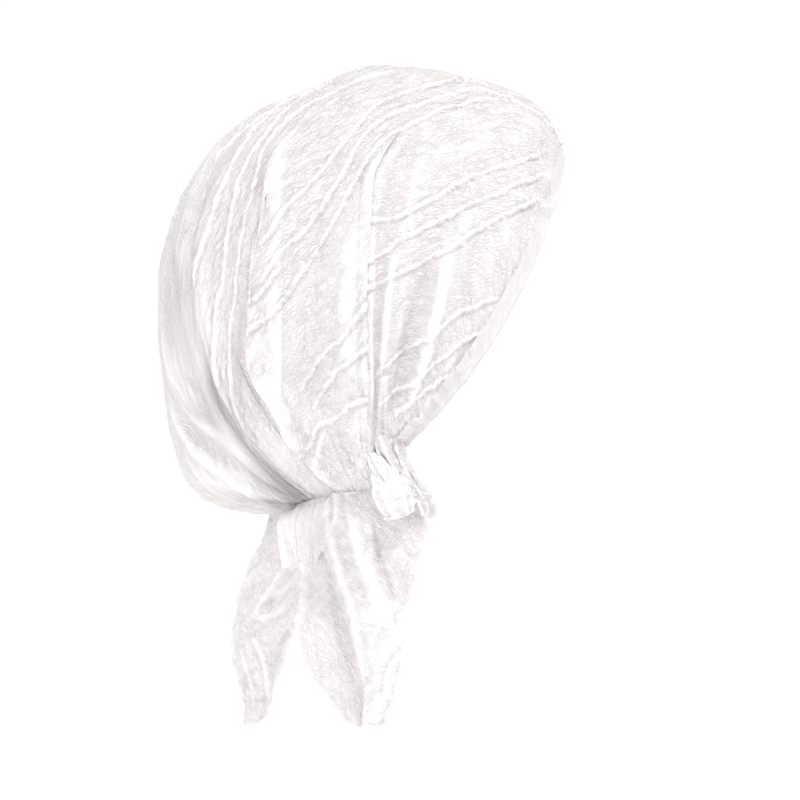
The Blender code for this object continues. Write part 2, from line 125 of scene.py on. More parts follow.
# The crown is one length of cloth, pleated from the front hem round to the nape. A row of the path gives the
# row of SECTIONS where the cloth lies when it is flat, the pleat edge that it is folded round, how far from
# that edge it then lies, its lift off the smooth crown as a share of FOLD_DEPTH, and how far up that reaches.
Path = namedtuple("Path", "flat edge offset lift reach")
PATH = [
    Path(0.00, 0, 0.00, 0.00, 0.50),
    Path(0.70, 0, 0.00, -0.05, 0.50),
    Path(1.60, 0, 0.00, 0.15, 0.50),
    Path(2.20, 0, 0.00, 0.40, 0.50),
    Path(3.10, 0, 0.00, -0.35, 0.50),
    Path(4.20, 0, 0.00, 0.20, 0.55),
    Path(4.85, 0, 0.00, -0.20, 0.74),
    Path(5.20, 1, -0.35, 0.08, 0.66),
    Path(5.40, 1, 0.10, 0.02, 0.66),
    Path(5.52, 1, 0.40, -0.14, 0.66),
    Path(5.60, 1, 0.50, -0.18, 0.66),
    Path(5.68, 1, 0.36, -0.13, 0.66),
    Path(5.80, 1, 0.08, -0.06, 0.66),
    Path(5.88, 1, -0.03, 0.08, 0.68),
    Path(5.94, 1, -0.06, 0.28, 0.68),
    Path(6.00, 1, -0.01, 0.42, 0.68),
    Path(6.12, 1, 0.14, 0.48, 0.68),
    Path(6.45, 1, 0.45, 0.48, 0.66),
    Path(7.00, 0, 0.00, 0.34, 0.70),
    Path(8.00, 0, 0.00, -0.25, 0.60),
    Path(9.00, 0, 0.00, 0.30, 0.62),
    Path(9.60, 0, 0.00, 0.48, 0.64),
    Path(9.95, 2, -0.16, 0.50, 0.70),
    Path(10.04, 2, -0.03, 0.42, 0.70),
    Path(10.10, 2, 0.04, 0.27, 0.70),
    Path(10.16, 2, 0.00, 0.10, 0.70),
    Path(10.24, 2, -0.11, -0.04, 0.70),
    Path(10.34, 2, -0.28, -0.10, 0.70),
    Path(10.42, 2, -0.36, -0.17, 0.70),
    Path(10.52, 2, -0.24, -0.24, 0.70),
    Path(10.72, 2, 0.15, -0.26, 0.70),
    Path(11.00, 2, 0.60, -0.22, 0.76),
    Path(11.60, 0, 0.00, -0.12, 0.70),
    Path(12.30, 0, 0.00, -0.05, 0.70),
    Path(13.00, 0, 0.00, 0.05, 0.70),
    Path(13.60, 0, 0.00, 0.25, 0.70),
    Path(14.00, 3, -0.28, 0.30, 0.66),
    Path(14.15, 3, -0.06, 0.28, 0.66),
    Path(14.22, 3, 0.04, 0.18, 0.66),
    Path(14.28, 3, 0.02, 0.06, 0.66),
    Path(14.36, 3, -0.14, -0.02, 0.66),
    Path(14.46, 3, -0.34, -0.05, 0.66),
    Path(14.56, 3, -0.22, -0.06, 0.66),
    Path(14.75, 3, 0.20, -0.03, 0.66),
    Path(15.20, 3, 0.75, 0.04, 0.60),
    Path(16.00, 0, 0.00, 0.12, 0.55),
    Path(17.00, 0, 0.00, 0.35, 0.70),
    Path(18.00, 0, 0.00, -0.35, 0.70),
    Path(19.00, 0, 0.00, 0.35, 0.70),
    Path(20.00, 0, 0.00, -0.15, 0.60),
    Path(21.00, 0, 0.00, 0.15, 0.50),
    Path(22.00, 0, 0.00, 0.00, 0.50),
    Path(23.00, 0, 0.00, 0.00, 0.50),
]

# The edges of the three pleats in the side view: the row of SECTIONS that each lies near, and between
# which shares of the way up the arches it opens out
Pleat = namedtuple("Pleat", "row opens_at open_at points")
PLEATS = [
    Pleat(6.0, 0.72, 0.87, [(389, 118), (385, 135), (379, 160), (373, 183), (371, 210), (370, 235), (368, 262),
                            (367, 290), (366, 328), (367, 340), (365, 366), (367, 382), (366, 397), (366, 428),
                            (369, 458), (371, 474)]),
    Pleat(10.1, 0.72, 0.86, [(268, 150), (267, 185), (264, 207), (261, 228), (254, 253), (253, 274), (251, 300),
                             (250, 316), (251, 330), (248, 344), (248, 370), (250, 388), (257, 412), (266, 429),
                             (273, 443), (284, 460), (297, 474), (313, 487)]),
    Pleat(14.3, 0.40, 0.54, [(199, 313), (205, 333), (211, 351), (216, 376), (222, 394), (233, 412), (242, 432),
                             (256, 452), (269, 472), (288, 484), (305, 495)]),
]

# The crown is kept as four panels: the last flat row of each, how many steps it has, and the angle of its
# stripes to the arches
Panel = namedtuple("Panel", "name last steps stripe_angle calm")
PANELS = [
    Panel("front_panel", 5.60, 125, 27.0, 0.0),
    Panel("middle_panel", 10.42, 125, 48.0, 0.0),
    Panel("back_panel", 14.46, 95, 82.0, 0.2),
    Panel("bag_panel", 23.0, 130, 70.0, 0.25),
]
CROWN_COLUMNS = 580

# Raised cords woven into the cloth: the panel, and points of the cord in the side view
Rib = namedtuple("Rib", "panel points")
RIBS = [
    Rib("front_panel middle_panel", [(262, 250), (279, 224), (288, 212), (305, 193), (324, 172), (339, 152),
                                     (355, 131), (372, 111), (391, 100), (414, 91), (432, 84), (458, 78), (490, 82)]),
    Rib("front_panel middle_panel", [(262, 288), (279, 262), (290, 247), (305, 234), (318, 216), (326, 203),
                                     (340, 182), (355, 152), (369, 134), (387, 119), (409, 110), (428, 102),
                                     (450, 94), (481, 88), (515, 98)]),
    Rib("front_panel middle_panel", [(280, 312), (302, 277), (316, 256), (327, 236), (337, 219), (347, 200),
                                     (358, 178), (372, 157), (388, 140), (413, 124), (443, 110), (481, 99),
                                     (506, 99), (540, 114), (556, 132)]),
    Rib("middle_panel", [(246, 336), (254, 329), (272, 317), (288, 298), (297, 284), (306, 262)]),
    Rib("middle_panel", [(246, 306), (258, 300), (270, 286), (282, 268)]),
    Rib("middle_panel", [(300, 396), (309, 382), (323, 359), (343, 337), (358, 318), (372, 300)]),
    Rib("middle_panel", [(312, 412), (323, 397), (334, 376), (352, 360), (364, 351), (374, 342)]),
    Rib("middle_panel", [(298, 456), (309, 446), (320, 426), (334, 420), (349, 406), (363, 400), (374, 396)]),
    Rib("front_panel", [(352, 232), (372, 224), (390, 221), (409, 214), (426, 205), (453, 189), (475, 178),
                        (497, 169), (523, 161), (543, 155)]),
    Rib("front_panel", [(352, 272), (369, 264), (385, 255), (400, 243), (420, 233), (444, 221), (459, 211),
                        (478, 204), (497, 196), (514, 187), (530, 181), (545, 176)]),
    Rib("front_panel", [(352, 300), (369, 290), (386, 283), (404, 273), (419, 266), (436, 256), (456, 248),
                        (467, 238), (491, 224), (510, 214), (526, 206), (538, 201)]),
    Rib("front_panel", [(374, 376), (390, 363), (409, 350), (420, 341), (432, 336), (441, 327), (456, 315),
                        (472, 309), (486, 303), (498, 299)]),
    Rib("front_panel", [(384, 402), (405, 388), (420, 376), (434, 364), (450, 352), (464, 341), (480, 334),
                        (496, 328)]),
    Rib("front_panel", [(392, 418), (410, 402), (426, 390), (444, 378), (461, 369), (480, 356)]),
    Rib("back_panel", [(372, 70), (339, 77), (316, 85), (296, 95), (275, 112), (256, 130), (245, 146), (235, 165),
                       (226, 188), (219, 206), (212, 230), (205, 250), (200, 268), (197, 290)]),
    Rib("back_panel", [(382, 69), (354, 75), (324, 86), (302, 99), (284, 114), (271, 130), (260, 146), (250, 162),
                       (242, 178), (236, 202), (231, 224), (228, 241), (226, 264), (224, 288), (219, 310),
                       (218, 336), (217, 360), (221, 388)]),
    Rib("back_panel middle_panel", [(395, 71), (360, 81), (330, 96), (305, 111), (290, 122), (276, 135),
                                    (266, 150), (259, 170), (253, 190), (248, 212), (242, 240), (238, 270),
                                    (236, 300), (233, 330), (232, 356), (234, 384), (238, 410), (246, 428),
                                    (258, 442)]),
    Rib("back_panel", [(306, 93), (282, 105), (260, 118), (241, 132), (226, 148), (214, 163), (206, 180), (200, 208)]),
]

# Folds and dents of single panels: half width and height in millimetres, height below 0 for a valley
Stroke = namedtuple("Stroke", "panel width height points")
STROKES = [
    Stroke("front_panel", 3.6, 3.4, [(449, 232), (444, 272), (438, 306), (432, 330), (424, 362), (414, 392), (402, 418), (388, 442)]),
    Stroke("front_panel", 2.4, 2.8, [(397, 240), (393, 262), (388, 300), (385, 330), (382, 357), (381, 385), (380, 414), (377, 446)]),
    Stroke("front_panel", 4.6, -3.6, [(430, 262), (423, 300), (416, 326), (409, 348), (403, 374), (394, 404), (386, 430)]),
    Stroke("front_panel", 5.0, -1.6, [(477, 232), (474, 262), (468, 296), (458, 330), (446, 362)]),
    Stroke("front_panel", 3.2, 2.3, [(374, 236), (373, 280), (372, 330), (371, 380), (371, 436)]),
    Stroke("front_panel", 2.4, -0.4, [(392, 190), (382, 220), (378, 260), (375, 300), (373, 350)]),
    Stroke("front_panel", 3.0, 1.2, [(462, 334), (452, 358), (438, 386), (420, 412), (402, 436)]),
    Stroke("front_panel", 1.6, -1.3, [(441, 340), (430, 366), (418, 392), (402, 418), (388, 440)]),
    Stroke("middle_panel", 5.0, 2.0, [(288, 134), (282, 165), (278, 200), (276, 240), (274, 280), (274, 320), (279, 366), (288, 404), (296, 446)]),
    Stroke("middle_panel", 13.0, -4.9, [(334, 196), (324, 236), (318, 280), (312, 320), (310, 360), (310, 400), (312, 436)]),
    Stroke("middle_panel", 2.6, -1.0, [(298, 310), (302, 330), (306, 360), (310, 385), (307, 412), (303, 436)]),
    Stroke("middle_panel", 6.0, 1.8, [(352, 220), (350, 260), (347, 300), (346, 340), (344, 390)]),
    Stroke("middle_panel", 2.8, -1.6, [(336, 418), (341, 434), (347, 450), (354, 466), (362, 476)]),
    Stroke("middle_panel", 3.6, 1.6, [(352, 414), (358, 436), (363, 456), (366, 474)]),
    Stroke("middle_panel", 2.0, 1.4, [(324, 430), (320, 448), (318, 466), (322, 482)]),
    Stroke("middle_panel", 2.2, -1.6, [(251, 388), (262, 398), (272, 414), (280, 434), (290, 452), (304, 462)]),
    Stroke("middle_panel", 1.8, 1.0, [(256, 386), (268, 396), (279, 414), (287, 434), (296, 450)]),
    Stroke("back_panel", 4.0, -1.7, [(266, 160), (256, 196), (248, 230), (243, 270), (241, 310), (240, 350), (241, 390), (248, 424)]),
    Stroke("back_panel", 3.2, -1.6, [(252, 186), (243, 214), (236, 246), (232, 280), (228, 320), (225, 356)]),
    Stroke("back_panel", 3.2, -1.4, [(238, 190), (228, 220), (219, 250), (212, 280), (209, 310)]),
    Stroke("bag_panel", 4.0, 1.4, [(164, 300), (166, 330), (172, 360), (179, 389), (189, 411), (204, 421), (220, 430), (236, 446), (256, 464), (280, 484)]),
    Stroke("bag_panel", 3.0, -0.6, [(196, 404), (214, 418), (234, 440), (256, 462), (280, 482), (300, 492)]),
    Stroke("bag_panel", 4.0, 2.0, [(168, 384), (176, 414), (188, 440), (204, 456), (224, 470), (242, 484), (262, 496)]),
    Stroke("bag_panel", 3.4, -1.0, [(176, 404), (188, 428), (206, 446), (228, 462), (250, 478)]),
    Stroke("bag_panel", 1.6, -1.0, [(188, 366), (192, 376), (198, 386), (206, 394)]),
    Stroke("bag_panel", 6.0, -1.0, [(194, 306), (204, 340), (212, 372), (222, 398), (236, 424)]),
]

# The part of the bag that is drawn smooth, in the side view: its middle and its half width and height
SMOOTH_BAG = (194, 352, 24, 62)

# Painted light that lifts the shade in the hollow where the bag runs into the gather, in the same terms
GATHER_PAINTED_LIGHT = (262, 458, 44, 40)

# Edges of layers that lie on the cloth below: the height in millimetres, and the edge in the side view,
# drawn so that the higher cloth is on its right-hand side
Ledge = namedtuple("Ledge", "panel height points")
LEDGES = [
    Ledge("middle_panel", 1.6, [(246, 382), (254, 386), (262, 391), (270, 401), (276, 415), (283, 432), (291, 446),
                                (296, 455), (309, 457)]),
]

# The strap and the knot, as rolls of gathered cloth: the middle of each section in the side view, how far it
# stands to the side as a share of half the crown's width, and its half width and half thickness in millimetres
Roll = namedtuple("Roll", "front down side half_width half_thickness")
STRAP_ROLLS = [
    [
        Roll(394, 436, -0.700, 4.6, 2.6),
        Roll(396, 448, -0.722, 4.8, 3.4),
        Roll(400, 459, -0.742, 4.2, 3.8),
        Roll(407, 470, -0.755, 3.6, 3.8),
        Roll(414, 481, -0.765, 3.8, 4.0),
        Roll(421, 490, -0.765, 4.0, 3.8),
        Roll(427, 499, -0.755, 4.4, 3.2),
        Roll(430, 508, -0.725, 3.8, 2.4),
        Roll(430, 517, -0.680, 2.8, 1.4),
    ],
    [
        Roll(380, 432, -0.715, 4.6, 2.6),
        Roll(383, 448, -0.752, 4.8, 3.2),
        Roll(391, 462, -0.772, 3.8, 3.2),
        Roll(400, 474, -0.788, 3.8, 3.4),
        Roll(408, 485, -0.796, 4.2, 3.4),
        Roll(416, 496, -0.790, 4.4, 3.0),
        Roll(422, 506, -0.770, 4.0, 2.2),
        Roll(425, 514, -0.745, 3.0, 1.4),
    ],
]
KNOT_ROLLS = [
    [
        Roll(370, 454, -0.775, 2.6, 2.2),
        Roll(375, 461, -0.805, 4.0, 3.2),
        Roll(381, 468, -0.832, 4.4, 3.8),
        Roll(388, 476, -0.848, 4.4, 3.8),
        Roll(396, 483, -0.845, 4.8, 3.4),
        Roll(402, 490, -0.820, 4.4, 2.4),
    ],
    [
        Roll(381, 466, -0.806, 6.0, 2.4),
        Roll(384, 475, -0.832, 8.0, 3.6),
        Roll(388, 484, -0.852, 9.8, 4.4),
        Roll(392, 493, -0.864, 10.9, 4.4),
        Roll(395, 500, -0.866, 10.6, 4.0),
        Roll(398, 507, -0.860, 9.6, 3.6),
        Roll(400, 512, -0.850, 8.4, 3.0),
        Roll(401, 515, -0.840, 7.4, 2.4),
    ],
]

TieRow = namedtuple("TieRow", "side forward drop half_width half_thickness")
TIE = [
    TieRow(-0.66, 0.545, 0.925, 0.40, 0.16),
    TieRow(-0.655, 0.505, 0.948, 0.42, 0.20),
    TieRow(-0.58, 0.460, 0.960, 0.42, 0.22),
    TieRow(-0.43, 0.419, 0.972, 0.42, 0.22),
    TieRow(-0.25, 0.376, 0.988, 0.42, 0.22),
    TieRow(0.00, 0.364, 0.992, 0.42, 0.22),
    TieRow(0.25, 0.376, 0.988, 0.42, 0.22),
    TieRow(0.43, 0.419, 0.972, 0.42, 0.22),
    TieRow(0.58, 0.460, 0.960, 0.42, 0.22),
    TieRow(0.655, 0.510, 0.945, 0.42, 0.22),
    TieRow(0.70, 0.554, 0.915, 0.50, 0.24),
    TieRow(0.71, 0.571, 0.888, 0.52, 0.24),
    TieRow(0.70, 0.575, 0.8575, 0.50, 0.18),
]

HemRow = namedtuple("HemRow", "flare drop ruffle")
HEM = [
    HemRow(0.55, -0.020, 0.2),
    HemRow(1.00, 0.090, 0.6),
    HemRow(1.20, 0.250, 0.9),
    HemRow(1.15, 0.400, 1.0),
    HemRow(0.95, 0.560, 1.0),
    HemRow(0.75, 0.720, 1.1),
    HemRow(0.60, 0.860, 1.1),
]
HEM_FIRST_ROW = 12
HEM_FOLDS = 7

SideRow = namedtuple(
    "SideRow",
    "rear_forward rear_drop rear_side crease_forward crease_drop crease_side"
    " front_forward front_drop front_side edge_forward edge_drop edge_side",
)
SIDE_TAIL = [
    SideRow(0.12, 0.040, -0.25, 0.23, -0.005, -0.43, 0.55, -0.025, -0.632, 0.99, 0.050, -0.68),
    SideRow(0.08, 0.140, -0.25, 0.22, 0.120, -0.43, 0.56, 0.105, -0.65, 0.98, 0.140, -0.69),
    SideRow(0.06, 0.260, -0.25, 0.28, 0.255, -0.46, 0.57, 0.230, -0.67, 0.96, 0.235, -0.71),
    SideRow(0.06, 0.360, -0.30, 0.32, 0.360, -0.52, 0.60, 0.335, -0.68, 0.92, 0.325, -0.72),
    SideRow(0.04, 0.455, -0.42, 0.36, 0.455, -0.58, 0.67, 0.425, -0.69, 0.86, 0.415, -0.72),
    SideRow(0.00, 0.560, -0.51, 0.42, 0.560, -0.64, 0.72, 0.520, -0.71, 0.79, 0.510, -0.73),
    SideRow(0.02, 0.670, -0.58, 0.46, 0.670, -0.66, 0.74, 0.630, -0.71, 0.80, 0.615, -0.72),
    SideRow(0.14, 0.785, -0.62, 0.50, 0.780, -0.68, 0.72, 0.740, -0.71, 0.78, 0.725, -0.72),
    SideRow(0.27, 0.875, -0.66, 0.49, 0.872, -0.69, 0.67, 0.850, -0.71, 0.73, 0.835, -0.72),
    SideRow(0.37, 0.942, -0.68, 0.47, 0.962, -0.70, 0.60, 0.968, -0.71, 0.64, 0.935, -0.72),
]
SIDE_TAIL_FORWARD = 0.341
SIDE_TAIL_DROP = 0.950

Fold = namedtuple("Fold", "line layer tuck")
SIDE_FOLDS = [
    Fold(0.00, 0.30, 0.12),
    Fold(0.30, 0.05, 0.12),
    Fold(0.62, 0.30, 0.12),
    Fold(0.95, 0.05, 0.12),
    Fold(1.25, 0.00, 0.12),
    Fold(1.52, 0.10, 0.12),
    Fold(1.60, 0.50, 0.11),
    Fold(1.52, 0.90, 0.09),
    Fold(1.28, 1.00, 0.10),
    Fold(1.08, 1.12, 0.10),
    Fold(1.00, 1.55, 0.09),
    Fold(1.08, 1.98, 0.04),
    Fold(1.30, 2.20, 0.00),
    Fold(1.62, 2.15, 0.00),
    Fold(1.88, 2.00, 0.00),
    Fold(2.00, 1.65, 0.00),
    Fold(2.18, 1.40, 0.00),
    Fold(2.48, 1.62, 0.00),
    Fold(2.75, 1.40, 0.00),
    Fold(3.00, 1.60, 0.00),
]

BackRow = namedtuple(
    "BackRow",
    "rear_forward rear_drop rear_side middle_forward middle_drop middle_side"
    " front_forward front_drop front_side",
)
BACK_TAIL = [
    BackRow(0.47, -0.024, 0.20, 0.59, -0.037, 0.36, 0.69, -0.07, 0.52),
    BackRow(0.40, 0.070, 0.20, 0.57, 0.070, 0.37, 0.70, 0.060, 0.53),
    BackRow(0.33, 0.140, 0.20, 0.55, 0.150, 0.37, 0.73, 0.145, 0.54),
    BackRow(0.14, 0.300, 0.21, 0.50, 0.305, 0.36, 0.86, 0.290, 0.54),
    BackRow(0.04, 0.460, 0.22, 0.42, 0.465, 0.35, 0.82, 0.450, 0.52),
    BackRow(0.00, 0.570, 0.22, 0.38, 0.575, 0.34, 0.74, 0.560, 0.50),
    BackRow(0.03, 0.690, 0.23, 0.35, 0.690, 0.33, 0.66, 0.680, 0.46),
    BackRow(0.12, 0.830, 0.24, 0.33, 0.832, 0.32, 0.55, 0.815, 0.42),
    BackRow(0.14, 0.940, 0.25, 0.28, 0.950, 0.31, 0.46, 0.935, 0.38),
    BackRow(0.15, 1.005, 0.26, 0.26, 1.010, 0.31, 0.40, 0.980, 0.36),
]
BACK_TAIL_FORWARD = 0.177
BACK_TAIL_DROP = 1.006
BACK_FOLDS = [
    Fold(0.00, 0.00, 0.00),
    Fold(0.22, 0.55, 0.00),
    Fold(0.50, 0.95, 0.00),
    Fold(0.80, 0.60, 0.00),
    Fold(1.02, 0.05, 0.00),
    Fold(1.25, -0.10, 0.00),
    Fold(1.52, 0.45, 0.00),
    Fold(1.78, 0.80, 0.00),
    Fold(2.00, 0.50, 0.00),
]

# Folds and wrinkles of the tails, in the side view, as in STROKES
TAIL_STROKES = [
    Stroke("side_tail", 2.6, 1.8, [(330, 500), (328, 520), (333, 545), (341, 574), (351, 606), (358, 640), (364, 680), (370, 704)]),
    Stroke("side_tail", 4.0, 1.6, [(352, 520), (358, 545), (368, 575), (378, 604), (382, 630)]),
    Stroke("side_tail", 1.8, -1.6, [(374, 514), (376, 532), (380, 556), (388, 580), (396, 602)]),
    Stroke("side_tail", 1.0, 1.3, [(404, 512), (396, 526), (388, 539), (383, 552), (380, 566)]),
    Stroke("side_tail", 1.0, 1.3, [(426, 538), (416, 550), (407, 562), (399, 576), (393, 592)]),
    Stroke("side_tail", 0.8, 0.8, [(414, 520), (406, 534), (398, 546), (392, 560), (388, 574)]),
    Stroke("side_tail", 1.2, 0.9, [(433, 520), (428, 540), (421, 556), (410, 576), (405, 598)]),
    Stroke("side_tail", 1.4, 0.9, [(304, 612), (318, 618), (332, 634), (344, 656), (350, 680)]),
    Stroke("side_tail", 1.4, 0.9, [(325, 584), (314, 598), (306, 612), (302, 630)]),
    Stroke("side_tail", 1.2, 0.7, [(330, 592), (321, 606), (313, 622), (309, 640)]),
    Stroke("side_tail", 2.2, -1.0, [(330, 560), (334, 590), (338, 620), (342, 650)]),
    Stroke("side_tail", 1.2, 0.8, [(402, 604), (390, 612), (378, 626), (370, 646)]),
    Stroke("side_tail", 1.1, 0.8, [(404, 622), (394, 632), (384, 646), (377, 668), (374, 690)]),
    Stroke("side_tail", 1.1, -0.8, [(399, 644), (389, 658), (383, 676), (380, 700)]),
    Stroke("side_tail", 1.1, 0.7, [(396, 654), (388, 668), (385, 686), (383, 706)]),
    Stroke("side_tail", 1.6, 1.2, [(328, 486), (336, 496), (336, 514), (331, 532)]),
    Stroke("side_tail", 1.4, 1.0, [(318, 492), (316, 510), (319, 530), (318, 552)]),
    Stroke("side_tail", 1.2, 1.0, [(338, 712), (350, 722), (366, 728), (378, 724)]),
    Stroke("back_tail", 1.4, 1.2, [(279, 572), (270, 588), (260, 603), (248, 622)]),
    Stroke("back_tail", 1.4, 1.0, [(281, 606), (276, 618), (262, 622), (247, 622)]),
    Stroke("back_tail", 2.6, -1.6, [(270, 598), (264, 612), (272, 620)]),
    Stroke("back_tail", 2.0, -1.2, [(286, 560), (276, 566), (264, 562)]),
    Stroke("back_tail", 1.4, 1.2, [(244, 634), (254, 650), (262, 672), (264, 690), (266, 712)]),
    Stroke("back_tail", 2.2, -1.4, [(284, 630), (278, 650), (270, 674), (268, 694)]),
    Stroke("back_tail", 1.2, 1.0, [(236, 650), (244, 676), (250, 700), (250, 724)]),
    Stroke("back_tail", 2.0, -1.2, [(258, 634), (246, 640), (240, 646)]),
]


# Painted shade in the hollow below the knot, in the side view: its middle and its half width and height
POCKET_PAINTED_SHADE = (360, 503, 15, 13)
TAIL_TURN = np.array([[0.64, -0.77], [0.77, 0.64]])


def rows_at(rows, t):
    """The number columns of a table at row numbers t, on a smooth curve through the rows."""
    table = np.array(rows, float)
    last = len(table) - 1
    t = np.clip(np.asarray(t, float), 0, last)
    i = np.minimum(t.astype(int), last - 1)
    f = (t - i)[..., None]
    before = np.where((i > 0)[..., None], table[np.maximum(i - 1, 0)], 2 * table[0] - table[1])
    after = np.where((i + 2 <= last)[..., None], table[np.minimum(i + 2, last)], 2 * table[last] - table[last - 1])
    a, b = table[i], table[i + 1]
    slope_a, slope_b = (b - before) / 2, (after - a) / 2
    return (
        (2 * f**3 - 3 * f**2 + 1) * a
        + (f**3 - 2 * f**2 + f) * slope_a
        + (3 * f**2 - 2 * f**3) * b
        + (f**3 - f**2) * slope_b
    )


def ease(x):
    """0 below 0, 1 above 1, and smooth between."""
    x = np.clip(x, 0.0, 1.0)
    return x * x * (3 - 2 * x)


def eased(x, places, values):
    """Values at x, between the given ones, with level tops and floors."""
    places, values = np.array(places, float), np.array(values, float)
    i = np.clip(np.searchsorted(places, x, side="right") - 1, 0, len(places) - 2)
    f = ease((x - places[i]) / (places[i + 1] - places[i]))
    return values[i] + (values[i + 1] - values[i]) * f


def wander(points, scale, seed):
    """Smooth noise from -1 to 1 at points, with lumps about as large as scale along each axis."""
    at = np.asarray(points, float) / np.asarray(scale, float) + seed * 17.37
    cell = np.floor(at).astype(np.int64)
    f = at - cell
    f = f * f * f * (f * (f * 6 - 15) + 10)
    total = 0.0
    for corner in range(2 ** at.shape[-1]):
        bits = [(corner >> k) & 1 for k in range(at.shape[-1])]
        spot = sum((cell[..., k] + bits[k]) * (374761393, 668265263, 1274126177)[k] for k in range(at.shape[-1]))
        spot = (spot + seed * 144665) & 0xFFFFFFFF
        spot = ((spot ^ (spot >> 13)) * 1274126177) & 0xFFFFFFFF
        spot = ((spot ^ (spot >> 16)) * 668265263) & 0xFFFFFFFF
        value = ((spot ^ (spot >> 15)) & 0xFFFFF) / 0x7FFFF - 1.0
        weight = 1.0
        for k, bit in enumerate(bits):
            weight = weight * (f[..., k] if bit else 1 - f[..., k])
        total = total + weight * value
    return total


def place(forward, drop, side):
    """Points from their forward and drop shares, and their distance from the middle plane in metres."""
    y = (SEAT_FORWARD - np.asarray(forward)) * CROWN_LENGTH
    z = (SEAT_DROP - np.asarray(drop)) * CROWN_DEPTH
    return np.stack(np.broadcast_arrays(side, y, z), axis=-1)


def arches(rows, turns):
    """The smooth crown: an arch of points for each row, at turns from 0 at the right foot to pi."""
    foot_forward, foot_drop, foot_half, top_forward, top_drop, bow, half = (c[:, None] for c in rows.T[:7])
    rise = np.sin(turns)[None] ** ARCH_CROWDING
    forward_run, down_run = top_forward - foot_forward, foot_drop - top_drop
    length = np.hypot(forward_run * CROWN_LENGTH, down_run * CROWN_DEPTH)
    reach = 4 * rise * (1 - rise) * bow * CROWN_LENGTH
    forward = foot_forward + forward_run * rise - down_run * CROWN_DEPTH / length * reach / CROWN_LENGTH
    drop = foot_drop - down_run * rise - forward_run * CROWN_LENGTH / length * reach / CROWN_DEPTH
    widening = np.sin(math.pi / 2 * np.minimum(1.0, rise / FULL_WIDTH_AT))
    width = foot_half + (half - foot_half) * widening
    side = width * CROWN_WIDTH / 2 * np.maximum(0.0, 1 - rise**CROSS_POWER) ** (1 / CROSS_ROOT)
    return place(forward, drop, np.where(turns[None] > math.pi / 2, side, -side))


def even_turns(count):
    """Turns from 0 to pi that divide an arch over the ears into steps of about the same length."""
    dense = np.linspace(0.0, math.pi, 4001)
    arch = arches(rows_at(SECTIONS, np.array([7.0])), dense)[0]
    run = np.concatenate([[0.0], np.cumsum(np.linalg.norm(np.diff(arch, axis=0), axis=1))])
    turns = np.interp(np.linspace(0.0, run[-1], count), run, dense)
    turns[0], turns[-1] = 0.0, math.pi
    return turns


def grid_normals(grid):
    """The outward unit normal at each point of a grid that runs back from the front and from right to left."""
    normals = np.cross(np.gradient(grid, axis=1), np.gradient(grid, axis=0))
    return normals / np.maximum(np.linalg.norm(normals, axis=2, keepdims=True), 1e-12)


def smooth_line(points, step=1.5):
    """A smooth line through given points, in steps of about step."""
    points = np.array(points, float)
    length = np.linalg.norm(np.diff(points, axis=0), axis=1).sum()
    return rows_at(points, np.linspace(0, len(points) - 1, max(8, int(length / step))))


def side_view(grid):
    """Where points lie in the side view that seams, ribs and folds are drawn in."""
    return np.stack([SIDE_FRONT - grid[..., 1] / SIDE_STEP, SIDE_TOP - grid[..., 2] / SIDE_STEP], axis=-1)


def line_distance(seen, normals, points):
    """Distance in metres over the cloth from a line drawn in the side view, its side, and the place along it."""
    line = smooth_line(points)
    flat = seen.reshape(-1, 2)
    low, high = line.min(axis=0) - 26, line.max(axis=0) + 26
    near = np.flatnonzero(((flat > low) & (flat < high)).all(axis=1))
    best = np.full(len(flat), 1e6)
    signed = np.zeros(len(flat))
    run = np.zeros(len(flat))
    lean = np.zeros((len(flat), 2))
    spots = flat[near]
    steps = np.diff(line, axis=0)
    lengths = np.linalg.norm(steps, axis=1)
    before = np.concatenate([[0.0], np.cumsum(lengths)])
    close = np.full(len(near), 1e6)
    for k in range(len(steps)):
        rel = spots - line[k]
        f = np.clip((rel @ steps[k]) / (lengths[k] ** 2), 0.0, 1.0)
        off = rel - f[:, None] * steps[k]
        size = np.hypot(off[:, 0], off[:, 1])
        better = size < close
        close[better] = size[better]
        spots_at = near[better]
        lean[spots_at] = off[better] / np.maximum(size[better], 1e-6)[:, None]
        signed[spots_at] = np.sign(steps[k][0] * off[better, 1] - steps[k][1] * off[better, 0])
        run[spots_at] = before[k] + f[better] * lengths[k]
    best[near] = close
    sides = normals.reshape(-1, 3)
    facing = -(lean[:, 0] * sides[:, 1] + lean[:, 1] * sides[:, 2])
    slant = np.sqrt(np.maximum(1 - facing**2, 0.08))
    shape = seen.shape[:-1]
    total = before[-1]
    return (
        (best * SIDE_STEP / slant).reshape(shape),
        signed.reshape(shape),
        (run * SIDE_STEP).reshape(shape),
        total * SIDE_STEP,
    )


def stroke_height(stroke, seen, normals):
    """How far a fold or dent moves the cloth along its normal."""
    distance, _, run, total = line_distance(seen, normals, stroke.points)
    ramp = min(max(0.25 * total, 0.008), 0.034)
    ends = ease(run / ramp + 0.04) * ease((total - run) / ramp + 0.04)
    return FOLD_STRENGTH * stroke.height * 0.001 * np.exp(-((distance / (stroke.width * 0.001)) ** 2)) * ends


